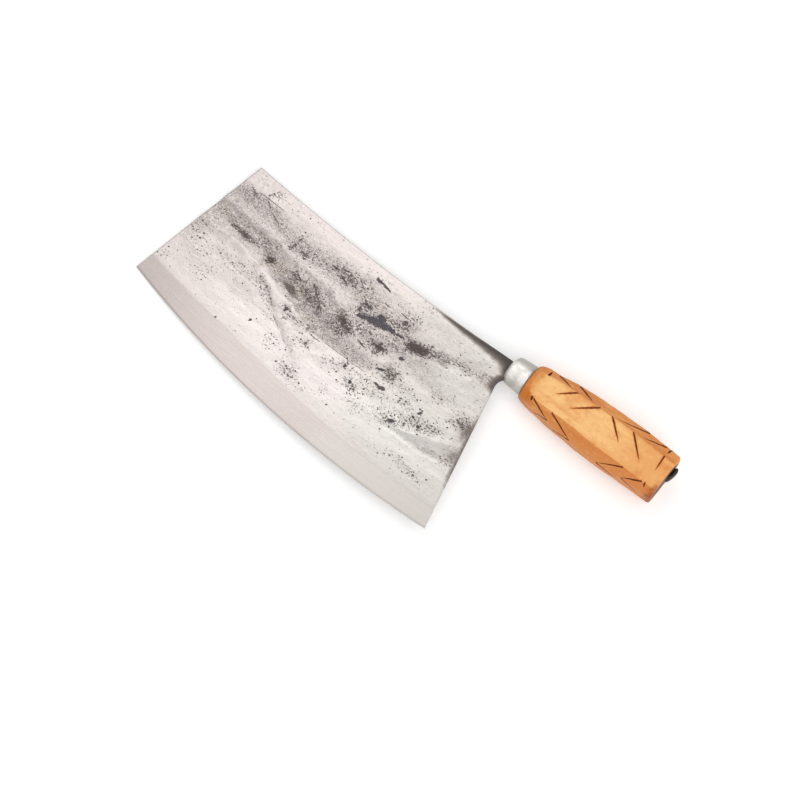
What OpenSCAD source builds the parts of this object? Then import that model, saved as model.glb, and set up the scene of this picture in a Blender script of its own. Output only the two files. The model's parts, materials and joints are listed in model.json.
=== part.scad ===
// Chinese kitchen cleaver: a three-layer forged blade whose tang runs through
// an octagonal wooden handle and is clinched over at the butt.
// Each piece is drawn in the knife's own frame: +X runs along the handle axis
// to the butt, +Y points to the spine, and Z = 0 is the middle of the blade.
// X = 0 is where the ferrule's rounded front meets its side. lay_down() then
// lays the knife on a table.

/* [Blade outline] */
// Distance along the handle axis from the ferrule to the spine's front corner
spine_len = 185.5; // [150:0.5:220]
// Height of the spine's front corner above the handle axis
spine_rise = 8.4; // [2:0.2:14]
// How far the spine dips below a straight line
spine_dip = 2.8; // [0.5:0.1:5]
// Length of the straight front edge, from spine to toe
front_len = 90; // [70:1:110]
// Lean of the front edge away from square
front_slant = 11.4; // [0:0.2:16]
// Length of the heel edge, measured from the line of the neck's lower side
heel_len = 96.2; // [76:0.2:116]
// Lean of the heel edge away from square
heel_slant = 12.6; // [0:0.2:16]
// How far the cutting edge bows out from a straight line between toe and heel
edge_belly = 8.8; // [3:0.2:14]
// Radius where the heel edge runs into the neck
neck_fillet = 7; // [4:0.5:9]

/* [Blade thickness] */
// Thickness at the spine
spine_t = 2.8; // [2:0.1:5]
// Thickness where the ground edge starts
shoulder_t = 1.2; // [1:0.05:1.8]
// Thickness left at the cutting edge
edge_t = 0.3; // [0.2:0.05:0.5]
// Width of the ground edge
grind_w = 14; // [8:0.5:20]
// Thickness of the hard-steel core
core_t = 0.8; // [0.6:0.05:0.9]

/* [Neck] */
// Width of the neck
neck_w = 9.1; // [7:0.1:11]
// Thickness of the neck
neck_t = 2.2; // [1.6:0.1:2.6]
// How far the middle of the neck lies below the handle axis
neck_drop = 0.75; // [0:0.05:1.5]
// Distance of the heel edge's line from the ferrule at the neck's lower side
neck_gap = 5.1; // [4:0.1:8]
// Length of neck inside the ferrule
neck_in = 7; // [5:0.5:9]

/* [Ferrule] */
// Length of the ferrule's side behind its rounded front
ferrule_len = 9.2; // [8:0.2:16]
// Outer diameter where the rounded front ends
ferrule_front_d = 17.4; // [16:0.2:20]
// Outer diameter at the rear
ferrule_rear_d = 18.8; // [17:0.2:22]
// Thickness of the ferrule's sheet
ferrule_wall = 0.8; // [0.5:0.1:1.2]
// How far the ferrule's rounded front stands out
ferrule_dome = 3.6; // [2:0.1:4]

/* [Handle] */
// Length of the wood behind the ferrule
handle_len = 92.1; // [80:0.1:120]
// Distance from the front of the wood to its fullest point
swell_at = 44.3; // [40:0.1:50]
// Width at the fullest point
handle_w = 31; // [28:0.5:34]
// Thickness at the fullest point
handle_t = 26; // [24:0.5:30]
// Width of the broad facets at the fullest point
facet_w = 17.2; // [14:0.2:20]
// Width of the wood at the front
front_w = 23.4; // [21:0.2:27]
// Thickness of the wood at the front
front_t = 21; // [20:0.2:25]
// Width of the broad facets at the front
front_facet_w = 13.6; // [12:0.2:16]
// Width of the wood at the butt
butt_w = 31.6; // [28:0.2:35]
// Thickness of the wood at the butt
butt_t = 26.4; // [24:0.2:31]
// Width of the broad facets at the butt
butt_facet_w = 19; // [14:0.2:21]
// Radius of the rounding at the butt's rim
butt_round = 4.2; // [2:0.2:6]
// Radius of the rounding at the wood's front shoulder
shoulder_round = 3.6; // [2:0.2:5]

/* [Grip cuts] */
// Angle between a grip cut and the handle axis
cut_angle = 31; // [20:1:38]
// Length of a grip cut along the handle
cut_run = 13; // [8:0.5:14]
// Width of a cut at the surface
cut_w = 1; // [0.6:0.1:1.6]
// Depth of a cut where it crosses the ridge
cut_depth = 1.1; // [0.5:0.1:1.6]
// Distance between neighbouring cuts
cut_pitch = 13.5; // [10:0.5:15]
// Distance from the fullest point to the nearest cut
cut_gap = 4.2; // [3:0.2:6]
// Length of the short ticks near both ends, across the facet
tick_len = 4; // [3:0.5:6]
// Distance of the end ticks from the ends of the wood
tick_inset = 8; // [6.5:0.5:9]

/* [Tang] */
// Diameter of the tang rod
tang_d = 6; // [5:0.2:7.4]
// Thickness of the tang's flattened tail
tail_t = 2.5; // [1.8:0.1:3.2]
// Width of the tang's flattened tail
tail_w = 5; // [3.6:0.1:5]
// How far the clinched tail reaches from the handle axis
tail_reach = 9.6; // [7:0.2:11]
// Inner radius of the tail's bend
bend_r = 0.6; // [0.4:0.1:1]
// Length over which the rod is hammered flat
flatten_len = 18; // [10:1:30]

/* [Fits] */
// Clearance around the neck in the ferrule's slot and in the wood
neck_fit = 0.25; // [0.1:0.05:0.4]
// Clearance between the tang rod and its hole in the wood
tang_fit = 0.25; // [0.15:0.05:0.4]
// Clearance between the wood and the inside of the ferrule
ferrule_fit = 0.15; // [0.1:0.05:0.3]

/* [Hidden] */
$fn = 96;

// Reach of the cutting bodies, well past the knife on every side
far = 400;
// Number of straight steps in a long flat arc and in a small round
long_steps = 32;
round_steps = 8;

// Neck: its upper and lower sides, and the corner where the heel edge starts
neck_top = neck_w / 2 - neck_drop;
neck_bottom = neck_top - neck_w;
neck_corner = [-neck_gap, neck_bottom];

// Corners of the blade
front_corner = [-spine_len, spine_rise];
toe = front_corner - front_len * [sin(front_slant), cos(front_slant)];
heel = neck_corner + heel_len * [sin(heel_slant), -cos(heel_slant)];
spine_end = [-neck_gap, neck_top];

// Unit vector and length of the straight line from toe to heel
edge_dir = (heel - toe) / norm(heel - toe);
edge_chord = norm(heel - toe);
edge_angle = atan2(edge_dir[1], edge_dir[0]);
// Radius and centre of the cutting edge's arc
edge_r = (edge_chord * edge_chord / 4 + edge_belly * edge_belly) / (2 * edge_belly);
edge_centre = (toe + heel) / 2 + (edge_r - edge_belly) * [-edge_dir[1], edge_dir[0]];
// Height of a point above the line that touches the cutting edge at its middle
function height_of(p) = edge_r + cross(edge_dir, p - edge_centre);
blade_h = height_of(spine_end);

// Centre of the fillet between the heel edge and the neck
fillet_y = neck_bottom - neck_fillet;
fillet_x = heel[0] + (neck_fillet - (fillet_y - heel[1]) * sin(heel_slant)) / cos(heel_slant);
fillet_centre = [fillet_x, fillet_y];

// Half the thickness of the main faces, and of the ground edge, at a height
// above the cutting edge
face_slope = (spine_t - shoulder_t) / 2 / (blade_h - grind_w);
grind_slope = (shoulder_t - edge_t) / 2 / grind_w;
function half_at(h) = shoulder_t / 2 + face_slope * (h - grind_w);
function grind_half_at(h) = edge_t / 2 + grind_slope * h;

// Where the neck is stepped down, just before the ferrule
neck_step = -ferrule_dome - neck_fit;

// Ends of the wood and its fullest point, measured from the ferrule's rim
wood_front = ferrule_len;
swell_x = wood_front + swell_at;
butt_x = wood_front + handle_len;
// Where the tang is hammered flat, just inside the butt
flat_x = butt_x - tang_d;
// Radius at which the wood's front shoulder starts to round
shoulder_r = ferrule_rear_d / 2 + ferrule_wall;

// Points on an arc about c, from angle a0 to a1
function arc(c, r, a0, a1, n) =
    [for (i = [0:n]) let (a = a0 + (a1 - a0) * i / n) c + r * [cos(a), sin(a)]];

// Points from a to b on an arc that bows out by rise to the left of a to b
function bow(a, b, rise, n) =
    let (
        c = norm(b - a),
        u = (b - a) / c,
        v = [-u[1], u[0]],
        r = (c * c / 4 + rise * rise) / (2 * rise),
        m = (a + b) / 2 + (rise - r) * v,
        half = asin(c / 2 / r)
    )
    [for (i = [0:n]) let (t = half * (2 * i / n - 1)) m + r * (sin(t) * u + cos(t) * v)];

// Distance from the axis to the slanted facets of an octagon
function slant_of(t, facet) = (t + facet) / 2 / sqrt(2);

// The octagon's distances from the axis at the stations along the wood, for
// the broad facets, the slanted facets and the narrow side facets
stations = [wood_front, swell_x, butt_x];
broad_out = [front_t / 2, handle_t / 2, butt_t / 2];
slant_out = [
    slant_of(front_t, front_facet_w),
    slant_of(handle_t, facet_w),
    slant_of(butt_t, butt_facet_w)
];
side_out = [front_w / 2, handle_w / 2, butt_w / 2];
facet_out = [broad_out, slant_out, side_out, slant_out];

// Half widths of a facet: broad and side facets end where the slanted ones
// cut them, and the slanted ones are shared between both neighbours
broad_half = sqrt(2) * slant_out - broad_out;
side_half = sqrt(2) * slant_out - side_out;

// Value of a list given at the stations, at a place x along the wood
function along(values, x) = lookup(x, [for (i = [0:2]) [stations[i], values[i]]]);

// Edge of facet k where it meets facet k + 1 when up is 1, or k - 1 when -1,
// measured across the facet from the middle of its width
function ridge(k, up, x) =
    k % 4 == 0 ? up * along(broad_half, x)
    : k % 4 == 2 ? up * along(side_half, x)
    : let (to_side = (k % 4 == 1) == (up == 1))
      up * (to_side ? along(sqrt(2) * side_out - slant_out, x)
                    : along(sqrt(2) * broad_out - slant_out, x));

// The knife rests on its toe, the spine's front corner and the fullest point
// of the handle, on the ridge towards the cutting edge
rest_toe = [toe[0], toe[1], -edge_t / 2];
rest_front = [front_corner[0], front_corner[1], -half_at(height_of(front_corner))];
rest_handle = [swell_x, -facet_w / 2, -handle_t / 2];
up = cross(rest_handle - rest_toe, rest_front - rest_toe);
roll = atan2(up[1], up[2]);
pitch = -atan2(up[0], norm([up[1], up[2]]));

// A point of the knife's frame turned as the knife lies
function turned(p) =
    let (
        y = p[1] * cos(roll) - p[2] * sin(roll),
        z = p[1] * sin(roll) + p[2] * cos(roll)
    )
    [p[0] * cos(pitch) + z * sin(pitch), y, z * cos(pitch) - p[0] * sin(pitch)];

// Middle of the lying knife's length and width, and the table's height
lie_x = (turned(rest_toe)[0] + turned([butt_x + tail_t, tail_reach, 0])[0]) / 2;
lie_y = (edge_centre[1] - edge_r + handle_w / 2) / 2;
lie_z = turned(rest_toe)[2];

module lay_down() {
    translate([-lie_x, -lie_y, -lie_z]) rotate([roll, pitch, 0]) children();
}

// The blade's outline, from the neck's end round the spine, toe and heel. The
// neck and the fillet below it are drawn larger by grow.
module blade_outline(grow = 0) {
    polygon(concat(
        [[neck_in + grow, neck_bottom - grow], [neck_in + grow, neck_top + grow]],
        bow(spine_end + [0, grow], front_corner, spine_dip, long_steps),
        bow(toe, heel, -edge_belly, long_steps),
        arc(fillet_centre, neck_fillet - grow, 180 + heel_slant, 90, round_steps)
    ));
}

// Both main faces as one wedge, which thickens from the edge to the spine
module face_wedge() {
    low = -neck_w;
    high = blade_h + neck_w;
    translate([edge_centre[0], edge_centre[1], 0])
        rotate([0, 0, edge_angle])
            translate([0, -edge_r, 0])
                rotate([90, 0, 90])
                    linear_extrude(2 * far, center = true)
                        polygon([
                            [low, -half_at(low)], [high, -half_at(high)],
                            [high, half_at(high)], [low, half_at(low)]
                        ]);
}

// The ground edge as a ring about the centre of the cutting edge's arc
module grind_ring() {
    inner = blade_h + neck_w;
    translate([edge_centre[0], edge_centre[1], 0])
        rotate_extrude($fn = 720)
            polygon([
                [edge_r - inner, -grind_half_at(inner)], [edge_r + 1, -grind_half_at(-1)],
                [edge_r + 1, grind_half_at(-1)], [edge_r - inner, grind_half_at(inner)]
            ]);
}

// The whole blade before it is told apart into its layers. The neck is forged
// thinner where the ferrule takes it.
module blade_body() {
    difference() {
        intersection() {
            linear_extrude(far, center = true) blade_outline();
            face_wedge();
            grind_ring();
        }
        for (side = [-1, 1])
            translate([neck_step + far / 2, 0, side * (neck_t + far) / 2])
                cube([far, ferrule_rear_d, far], center = true);
    }
}

// The part of the blade between two heights above its middle
module blade_layer(low, high) {
    lay_down()
        intersection() {
            blade_body();
            translate([-far, -far / 2, low]) cube([2 * far, far, high - low]);
        }
}

module core_steel() {
    color("gainsboro") blade_layer(-core_t / 2, core_t / 2);
}

module cheek_left() {
    color("silver") blade_layer(core_t / 2, spine_t);
}

module cheek_right() {
    color("silver") blade_layer(-spine_t, -core_t / 2);
}

// The ferrule's rounded front from its middle to its rim, with the sheet's
// inner or outer size
function dome(inset) =
    [for (i = [0:round_steps]) let (a = 90 * i / round_steps)
        [(ferrule_front_d / 2 - inset) * sin(a), -(ferrule_dome - inset) * cos(a)]];

module ferrule() {
    rear_r = ferrule_rear_d / 2;
    inner = dome(ferrule_wall);
    color("lightgray") lay_down()
        difference() {
            rotate([0, 90, 0])
                rotate_extrude()
                    polygon(concat(
                        dome(0),
                        [[rear_r, ferrule_len], [rear_r - ferrule_wall, ferrule_len]],
                        [for (i = [round_steps:-1:0]) inner[i]]
                    ));
            linear_extrude(neck_t + 2 * neck_fit, center = true) blade_outline(neck_fit);
        }
}

// The tang seen along Z: a rod that is hammered flat towards its tail, which
// bends towards the spine and lies flat on the butt
module tang_outline() {
    half = tail_t / 2;
    clear = tang_d - half;
    slope_x = flat_x - 2 * flatten_len;
    bend = [butt_x - bend_r, half + bend_r];
    polygon(concat(
        [[neck_in, -clear], [slope_x, -clear], [flat_x, -half]],
        arc(bend, bend_r + tail_t, 270, 360, round_steps),
        [[butt_x + tail_t, tail_reach - half], [butt_x + half, tail_reach], [butt_x, tail_reach]],
        arc(bend, bend_r, 360, 270, round_steps),
        [[flat_x, half], [slope_x, clear], [neck_in, clear]]
    ));
}

module tang() {
    color("dimgray") lay_down()
        intersection() {
            linear_extrude(2 * tang_d, center = true) tang_outline();
            union() {
                translate([neck_in, 0, 0])
                    rotate([0, 90, 0])
                        cylinder(d = tang_d, h = flat_x + tail_t - neck_in);
                translate([flat_x, -tang_d, -tail_w / 2]) cube([far, far, tail_w]);
            }
        }
}

// Two opposite facets of the wood: k counts the pairs round from the broad one
module facet_pair(k) {
    out = facet_out[k];
    rotate([-45 * k, 0, 0])
        rotate([90, 0, 0])
            linear_extrude(far, center = true)
                polygon([
                    [stations[0], -out[0]], [stations[1], -out[1]], [stations[2], -out[2]],
                    [stations[2], out[2]], [stations[1], out[1]], [stations[0], out[0]]
                ]);
}

// The rounding of both ends of the wood, which lets the facets through between
module end_rounding() {
    butt_r = norm([butt_w / 2, side_half[2]]);
    rotate([0, 90, 0])
        rotate_extrude()
            polygon(concat(
                [[0, wood_front]],
                [for (p = arc([0, 0], shoulder_round, 180, 90, round_steps))
                    [shoulder_r + p[1], wood_front + shoulder_round + p[0]]],
                [[handle_w, swell_x]],
                [for (p = arc([0, 0], butt_round, 90, 0, round_steps))
                    [butt_r - butt_round + p[1], butt_x - butt_round + p[0]]],
                [[0, butt_x]]
            ));
}

// The wood inside the ferrule, which runs on into the rest of the wood
module tenon() {
    root = wood_front + shoulder_round;
    slack = ferrule_wall + ferrule_fit;
    front_r = ferrule_front_d / 2 - slack;
    rear_r = ferrule_rear_d / 2 - slack;
    rotate([0, 90, 0])
        rotate_extrude()
            polygon([[0, 0], [front_r, 0], [rear_r, wood_front], [rear_r, root], [0, root]]);
}

// A V-shaped cut into facet k, from the ridge at x0 to a point further along,
// deepest at the ridge and running out at its far end
module grip_cut(k, x0, side, x1, across) {
    start = [x0, ridge(k, side, x0), along(facet_out[k % 4], x0) - cut_depth];
    end = [x1, ridge(k, side, x0) - side * across, along(facet_out[k % 4], x1)];
    d = end - start;
    turn = atan2(d[1], d[0]);
    rise = atan2(d[2], norm([d[0], d[1]]));
    // The cutter reaches as far past the ridge, and past the wood's surface,
    // as the cut is wide
    mouth = 1 + cut_w / cut_depth;
    rotate([-45 * k, 0, 0])
        translate(start)
            rotate([0, -rise, turn])
                translate([-cut_w, 0, 0])
                    rotate([90, 0, 90])
                        linear_extrude(norm(d) + cut_w)
                            polygon([
                                [0, 0],
                                [mouth * cut_w / 2, mouth * cut_depth],
                                [-mouth * cut_w / 2, mouth * cut_depth]
                            ]);
}

// Chevrons over every second ridge, pointing at the fullest point from both
// ends, and short ticks over the ridges between them
module grip_cuts() {
    for (k = [0:7]) {
        side = k % 2 == 0 ? 1 : -1;
        for (way = [-1, 1], i = [0, 1]) {
            apex = swell_x + way * (cut_gap + i * cut_pitch);
            grip_cut(k, apex, side, apex + way * cut_run, cut_run * tan(cut_angle));
        }
        for (x = [wood_front + tick_inset, butt_x - tick_inset])
            grip_cut(k, x, -side, x, tick_len);
    }
}

module handle() {
    color("burlywood") lay_down()
        difference() {
            union() {
                intersection() {
                    end_rounding();
                    facet_pair(0);
                    facet_pair(1);
                    facet_pair(2);
                    facet_pair(3);
                }
                tenon();
            }
            grip_cuts();
            linear_extrude(neck_t + 2 * neck_fit, center = true) blade_outline(neck_fit);
            rotate([0, 90, 0]) cylinder(d = tang_d + 2 * tang_fit, h = butt_x + tang_d);
        }
}

core_steel();
cheek_left();
cheek_right();
tang();
ferrule();
handle();
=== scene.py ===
import json
import math

import bmesh
import bpy
import numpy as np
from mathutils import Matrix, Vector, noise

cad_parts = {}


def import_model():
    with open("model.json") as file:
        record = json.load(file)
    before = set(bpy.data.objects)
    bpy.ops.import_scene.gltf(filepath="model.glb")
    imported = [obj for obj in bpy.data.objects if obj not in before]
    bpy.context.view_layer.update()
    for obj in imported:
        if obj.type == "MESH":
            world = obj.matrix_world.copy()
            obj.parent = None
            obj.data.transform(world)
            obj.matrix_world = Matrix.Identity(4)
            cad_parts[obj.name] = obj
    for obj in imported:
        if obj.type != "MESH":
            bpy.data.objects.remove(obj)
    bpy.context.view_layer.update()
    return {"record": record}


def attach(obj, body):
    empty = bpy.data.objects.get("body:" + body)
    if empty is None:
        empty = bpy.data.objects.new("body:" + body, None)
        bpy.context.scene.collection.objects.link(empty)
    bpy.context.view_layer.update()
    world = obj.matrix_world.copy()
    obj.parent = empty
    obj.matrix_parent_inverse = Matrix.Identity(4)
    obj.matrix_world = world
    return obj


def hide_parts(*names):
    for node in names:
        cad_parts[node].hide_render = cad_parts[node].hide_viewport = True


# The cleaver's looks: a forged blade in three layers, a thimble ferrule, a hand-carved
# octagonal handle and the tang that is clinched over its butt.
# Every piece is drawn in the knife's own frame, in millimetres: +X runs along the handle
# to the butt, +Y points to the spine, and Z = 0 is the middle of the blade.
# X = 0 is where the ferrule's rounded front meets its side.

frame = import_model()

MM = 0.001

# Blade outline
SPINE_LEN = 185.5
SPINE_RISE = 8.4
SPINE_DIP = 2.8
FRONT_LEN = 90.0
FRONT_SLANT = math.radians(11.4)
HEEL_LEN = 96.2
HEEL_SLANT = math.radians(12.6)
EDGE_BELLY = 8.8
NECK_FILLET = 7.0
NECK_W = 9.1
NECK_T = 2.2
NECK_DROP = 0.75
NECK_GAP = 5.1
NECK_IN = 7.0

# Blade thickness
SPINE_T = 2.8
SHOULDER_T = 1.2
EDGE_T = 0.3
GRIND_W = 14.0
CORE_T = 0.8
KEEN_T = 0.06
KEEN_W = 0.9

# Ferrule
FERRULE_LEN = 9.2
FERRULE_FRONT_R = 8.7
FERRULE_REAR_R = 9.4
FERRULE_WALL = 0.8
FERRULE_DOME = 3.6
FERRULE_RIM = 0.22
FERRULE_BEAD = 0.10
NECK_FIT = 0.25

# Handle
HANDLE_LEN = 92.1
BUTT_X = FERRULE_LEN + HANDLE_LEN
FERRULE_SEEN = 10.4

# Heights of the handle's broad facets over its middle, in places along the knife
BROAD = (
    (FERRULE_SEEN, 10.6), (20, 11.3), (32, 12.0), (53.5, 12.9), (76, 13.0), (BUTT_X, 13.1)
)
# How far its ridges and its narrow sides lie from the middle, towards the spine or the edge
UPPER_RIDGE = (
    (FERRULE_SEEN, 5.2), (20, 6.9), (32, 7.7), (50, 7.9), (58, 8.2), (75, 8.0), (90, 7.6), (BUTT_X, 7.0)
)
LOWER_RIDGE = (
    (FERRULE_SEEN, 6.2), (20, 8.9), (32, 9.3), (47, 9.7), (60, 10.5), (75, 10.6), (90, 10.9), (BUTT_X, 11.0)
)
UNDER_RIDGE = ((FERRULE_SEEN, 6.6), (53.5, 8.6), (BUTT_X, 9.2))
SPINE_SIDE = (
    (FERRULE_SEEN, 11.3), (20, 12.1), (32, 13.7), (45, 14.7), (60, 15.0), (72, 15.2), (84, 15.0),
    (BUTT_X, 14.2),
)
EDGE_SIDE = (
    (FERRULE_SEEN, 10.9), (20, 11.8), (32, 13.3), (45, 14.3), (62, 15.2), (74, 14.8), (84, 14.3),
    (BUTT_X, 14.1),
)
# Half the heights of the narrow sides
SPINE_HALF = ((FERRULE_SEEN, 5.0), (53.5, 6.1), (BUTT_X, 6.8))
EDGE_HALF = ((FERRULE_SEEN, 5.0), (30, 5.8), (47, 4.4), (66, 4.0), (84, 5.2), (BUTT_X, 6.0))

# Handle: the rounded shoulder behind the ferrule and the rounded butt
SHOULDER_R = 10.2
SHOULDER_RISE = 2.5
SHOULDER_LEN = 6.0
SHOULDER_TILT = 0.35
CLEAR_START = 0.8
CLEAR_SLOPE = 9.0
BUTT_R = 17.2
BUTT_ROUND = 4.4
BUTT_TILT = 0.8
BUTT_DROP = 4.1
DROP_TILT = 0.5
END_BLEND = 0.5
BUTT_RIM = 1.1
BUTT_RIM_LEN = 1.5
BUTT_LEAN = 0.085
LEAN_START = 90.0
# How far the ridges are rounded, at most as a share of a facet, and how far the middle
# of the round is pulled in
RIDGE_ROUND = 0.4
RIDGE_MOST = 0.3
RIDGE_PULL = 0.42
# Hollows that the knife leaves across a facet: depth, length, and the noise from facet to
# facet and across one
FACET_HOLLOW = 0.16
FACET_WAVE = 7
FACET_APART = 3.3
FACET_ACROSS = 1.2
# How much smaller the carving leaves the ridges than they are drawn
CARVED = 0.992
# Waves of the ridges: length, step from ridge to ridge, depth, and the noise across and up
RIDGE_WAVES = (
    (9.0, 3.7, 0.34, 1.0, 8.0),
    (3.2, 5.1, 0.13, 3.0, 6.0),
)

# Tang
TANG_D = 6.0
TAIL_T = 2.5
TAIL_W = 5.0

# Corners and arcs of the blade
NECK_TOP = NECK_W / 2 - NECK_DROP
NECK_BOTTOM = NECK_TOP - NECK_W
SPINE_END = np.array([-NECK_GAP, NECK_TOP])
FRONT_CORNER = np.array([-SPINE_LEN, SPINE_RISE])
TOE = FRONT_CORNER - FRONT_LEN * np.array([math.sin(FRONT_SLANT), math.cos(FRONT_SLANT)])
HEEL = np.array([-NECK_GAP, NECK_BOTTOM]) + HEEL_LEN * np.array(
    [math.sin(HEEL_SLANT), -math.cos(HEEL_SLANT)]
)


def arc_through(start, end, rise):
    """Centre and radius of the arc from start to end that bows out by rise to its left."""
    chord = np.linalg.norm(end - start)
    along = (end - start) / chord
    left = np.array([-along[1], along[0]])
    radius = (chord * chord / 4 + rise * rise) / (2 * rise)
    return (start + end) / 2 + (rise - radius) * left, radius


EDGE_CENTRE, EDGE_R = arc_through(HEEL, TOE, EDGE_BELLY)
SPINE_CENTRE, SPINE_R = arc_through(SPINE_END, FRONT_CORNER, SPINE_DIP)
FILLET_Y = NECK_BOTTOM - NECK_FILLET
FILLET_X = HEEL[0] + (NECK_FILLET - (FILLET_Y - HEEL[1]) * math.sin(HEEL_SLANT)) / math.cos(
    HEEL_SLANT
)
FILLET_FOOT = FILLET_Y - NECK_FILLET * math.sin(HEEL_SLANT)

# The point of the blade's faces that the frame's two face mounts are given for
MOUNT_POINT = (-95.0, -38.0, 0.0)


def knife_place():
    """How the knife lies: from its own frame, in millimetres, to the shared one, in metres."""
    mounts = {m["name"]: m for m in frame["record"]["mounts"]}
    left = mounts["blade_left_face"]
    right = mounts["blade_right_face"]
    across = (Vector(left["axis"]) - Vector(right["axis"])).normalized()
    roll = -math.asin(across.y)
    pitch = math.atan2(across.x, across.z)
    turn = Matrix.Rotation(pitch, 4, "Y") @ Matrix.Rotation(roll, 4, "X")
    middle = (Vector(left["pos_m"]) + Vector(right["pos_m"])) / 2
    move = Matrix.Translation(middle - turn.to_3x3() @ (Vector(MOUNT_POINT) * MM))
    return move @ turn @ Matrix.Scale(MM, 4)


PLACE = knife_place()


# Small helpers for shapes

def smooth_step(low, high, value):
    """0 below low, 1 above high and smooth between; low may be the larger."""
    t = np.clip((value - low) / (high - low), 0.0, 1.0)
    return t * t * (3 - 2 * t)


def bell(x, middle, reach):
    """1 at the middle, and about a third at reach from it."""
    return np.exp(-(((x - middle) / reach) ** 2))


def soft_min(a, b, blend):
    """The smaller of two values, rounded where they are within blend of each other."""
    h = np.clip(0.5 + 0.5 * (b - a) / blend, 0.0, 1.0)
    return b + (a - b) * h - blend * h * (1 - h)


def smooth_line(points, x):
    """A smooth curve y(x) through a few points, level at both ends."""
    px = np.array([p[0] for p in points], float)
    py = np.array([p[1] for p in points], float)
    slope = np.gradient(py, px)
    i = np.clip(np.searchsorted(px, x) - 1, 0, len(px) - 2)
    step = px[i + 1] - px[i]
    t = np.clip((x - px[i]) / step, 0.0, 1.0)
    h00 = 2 * t**3 - 3 * t**2 + 1
    h10 = t**3 - 2 * t**2 + t
    h01 = 3 * t**2 - 2 * t**3
    h11 = t**3 - t**2
    return h00 * py[i] + h10 * step * slope[i] + h01 * py[i + 1] + h11 * step * slope[i + 1]


# Brings Blender's noise to about -1 to 1
NOISE_GAIN = 1.6


def lumps(x, y, size_x, size_y, seed):
    """Smooth noise from about -1 to 1 over flat points, with lumps of the given sizes."""
    flat_x = (np.ravel(x) / size_x).tolist()
    flat_y = (np.ravel(y) / size_y).tolist()
    values = [noise.noise(Vector((a, b, seed))) for a, b in zip(flat_x, flat_y)]
    return NOISE_GAIN * np.array(values).reshape(np.shape(x))


def make_piece(name, points, faces, finishes, face_finish=None, sharp=30.0, fields=None):
    """A closed mesh piece from points in knife millimetres, turned to how the knife lies."""
    mesh = bpy.data.meshes.new(name)
    mesh.from_pydata([tuple(p) for p in np.asarray(points, float).tolist()], [], faces)
    for field, values in (fields or {}).items():
        layer = mesh.attributes.new(field, "FLOAT", "POINT")
        layer.data.foreach_set("value", np.asarray(values, np.float32))
    for finish in finishes:
        mesh.materials.append(finish)
    if face_finish is not None:
        mesh.polygons.foreach_set("material_index", np.asarray(face_finish, np.int32))
    mesh.transform(PLACE)
    work = bmesh.new()
    work.from_mesh(mesh)
    bmesh.ops.recalc_face_normals(work, faces=work.faces)
    work.to_mesh(mesh)
    work.free()
    mesh.shade_smooth()
    mesh.set_sharp_from_angle(angle=math.radians(sharp))
    piece = bpy.data.objects.new(name, mesh)
    bpy.context.scene.collection.objects.link(piece)
    return piece


def grid_faces(rows, columns, first=0, loop=False):
    """Quads of a grid of points that are numbered row by row."""
    last = columns if loop else columns - 1
    return [
        (
            first + r * columns + c,
            first + r * columns + (c + 1) % columns,
            first + (r + 1) * columns + (c + 1) % columns,
            first + (r + 1) * columns + c,
        )
        for r in range(rows - 1)
        for c in range(last)
    ]


# The blade's outline

def spine_y(x):
    """Height of the spine, and of the neck's upper side behind it."""
    reach = np.sqrt(SPINE_R**2 - (np.minimum(x, SPINE_END[0]) - SPINE_CENTRE[0]) ** 2)
    return np.where(x > SPINE_END[0], NECK_TOP, SPINE_CENTRE[1] - reach)


def edge_y(x, inset):
    """Height of the line that runs inset from the cutting edge."""
    return EDGE_CENTRE[1] - np.sqrt((EDGE_R - inset) ** 2 - (x - EDGE_CENTRE[0]) ** 2)


def front_x(y):
    """The straight, slanted front."""
    return TOE[0] + (y - TOE[1]) * math.tan(FRONT_SLANT)


def heel_x(y):
    """The heel edge, the fillet above it and the end of the neck."""
    line = HEEL[0] - (y - HEEL[1]) * math.tan(HEEL_SLANT)
    rise = np.clip(y - FILLET_Y, -NECK_FILLET, NECK_FILLET)
    fillet = FILLET_X - np.sqrt(NECK_FILLET**2 - rise**2)
    return np.where(y >= NECK_BOTTOM, NECK_IN, np.where(y > FILLET_FOOT, fillet, line))


def inset_of(x, y):
    """Distance in from the cutting edge."""
    return EDGE_R - np.hypot(x - EDGE_CENTRE[0], y - EDGE_CENTRE[1])


# Steps of the blade's grid near its rims, where the corners are eased
RIM_STEPS = (0.0, 0.12, 0.3, 0.6)
# Rounds in which the ends of a row settle on the slanted front and heel
ROW_ROUNDS = 40


def close_steps(count, length):
    """Even steps from 0 to 1 with closer ones at both ends, for the eased corners."""
    near = np.array(RIM_STEPS) / length
    even = np.linspace(near[-1], 1 - near[-1], count)
    return np.concatenate([near[:-1], even, 1 - near[:-1][::-1]])


def blade_grid(low, share, along):
    """Points of the blade's face: low(x) is its lowest line, and share runs from that
    line at 0 to the spine at 1."""
    share = np.asarray(share)[:, None]

    def height(x):
        floor = low(np.clip(x, TOE[0], HEEL[0]))
        return floor + share * (spine_y(x) - floor)

    left = np.full_like(share, TOE[0])
    right = np.full_like(share, HEEL[0])
    for _ in range(ROW_ROUNDS):
        left = front_x(height(left))
        right = 0.5 * right + 0.5 * heel_x(height(right))
    x = left + (right - left) * np.asarray(along)[None, :]
    return x, height(x)


# The blade's thickness and its forged relief

EDGE_DIR = (HEEL - TOE) / np.linalg.norm(HEEL - TOE)
BLADE_H = EDGE_R + float(
    EDGE_DIR[0] * (SPINE_END - EDGE_CENTRE)[1] - EDGE_DIR[1] * (SPINE_END - EDGE_CENTRE)[0]
)


def half_at(rise):
    """Half the thickness of the main faces at a height above the cutting edge."""
    slope = (SPINE_T - SHOULDER_T) / 2 / (BLADE_H - GRIND_W)
    return SHOULDER_T / 2 + slope * (rise - GRIND_W)


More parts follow.
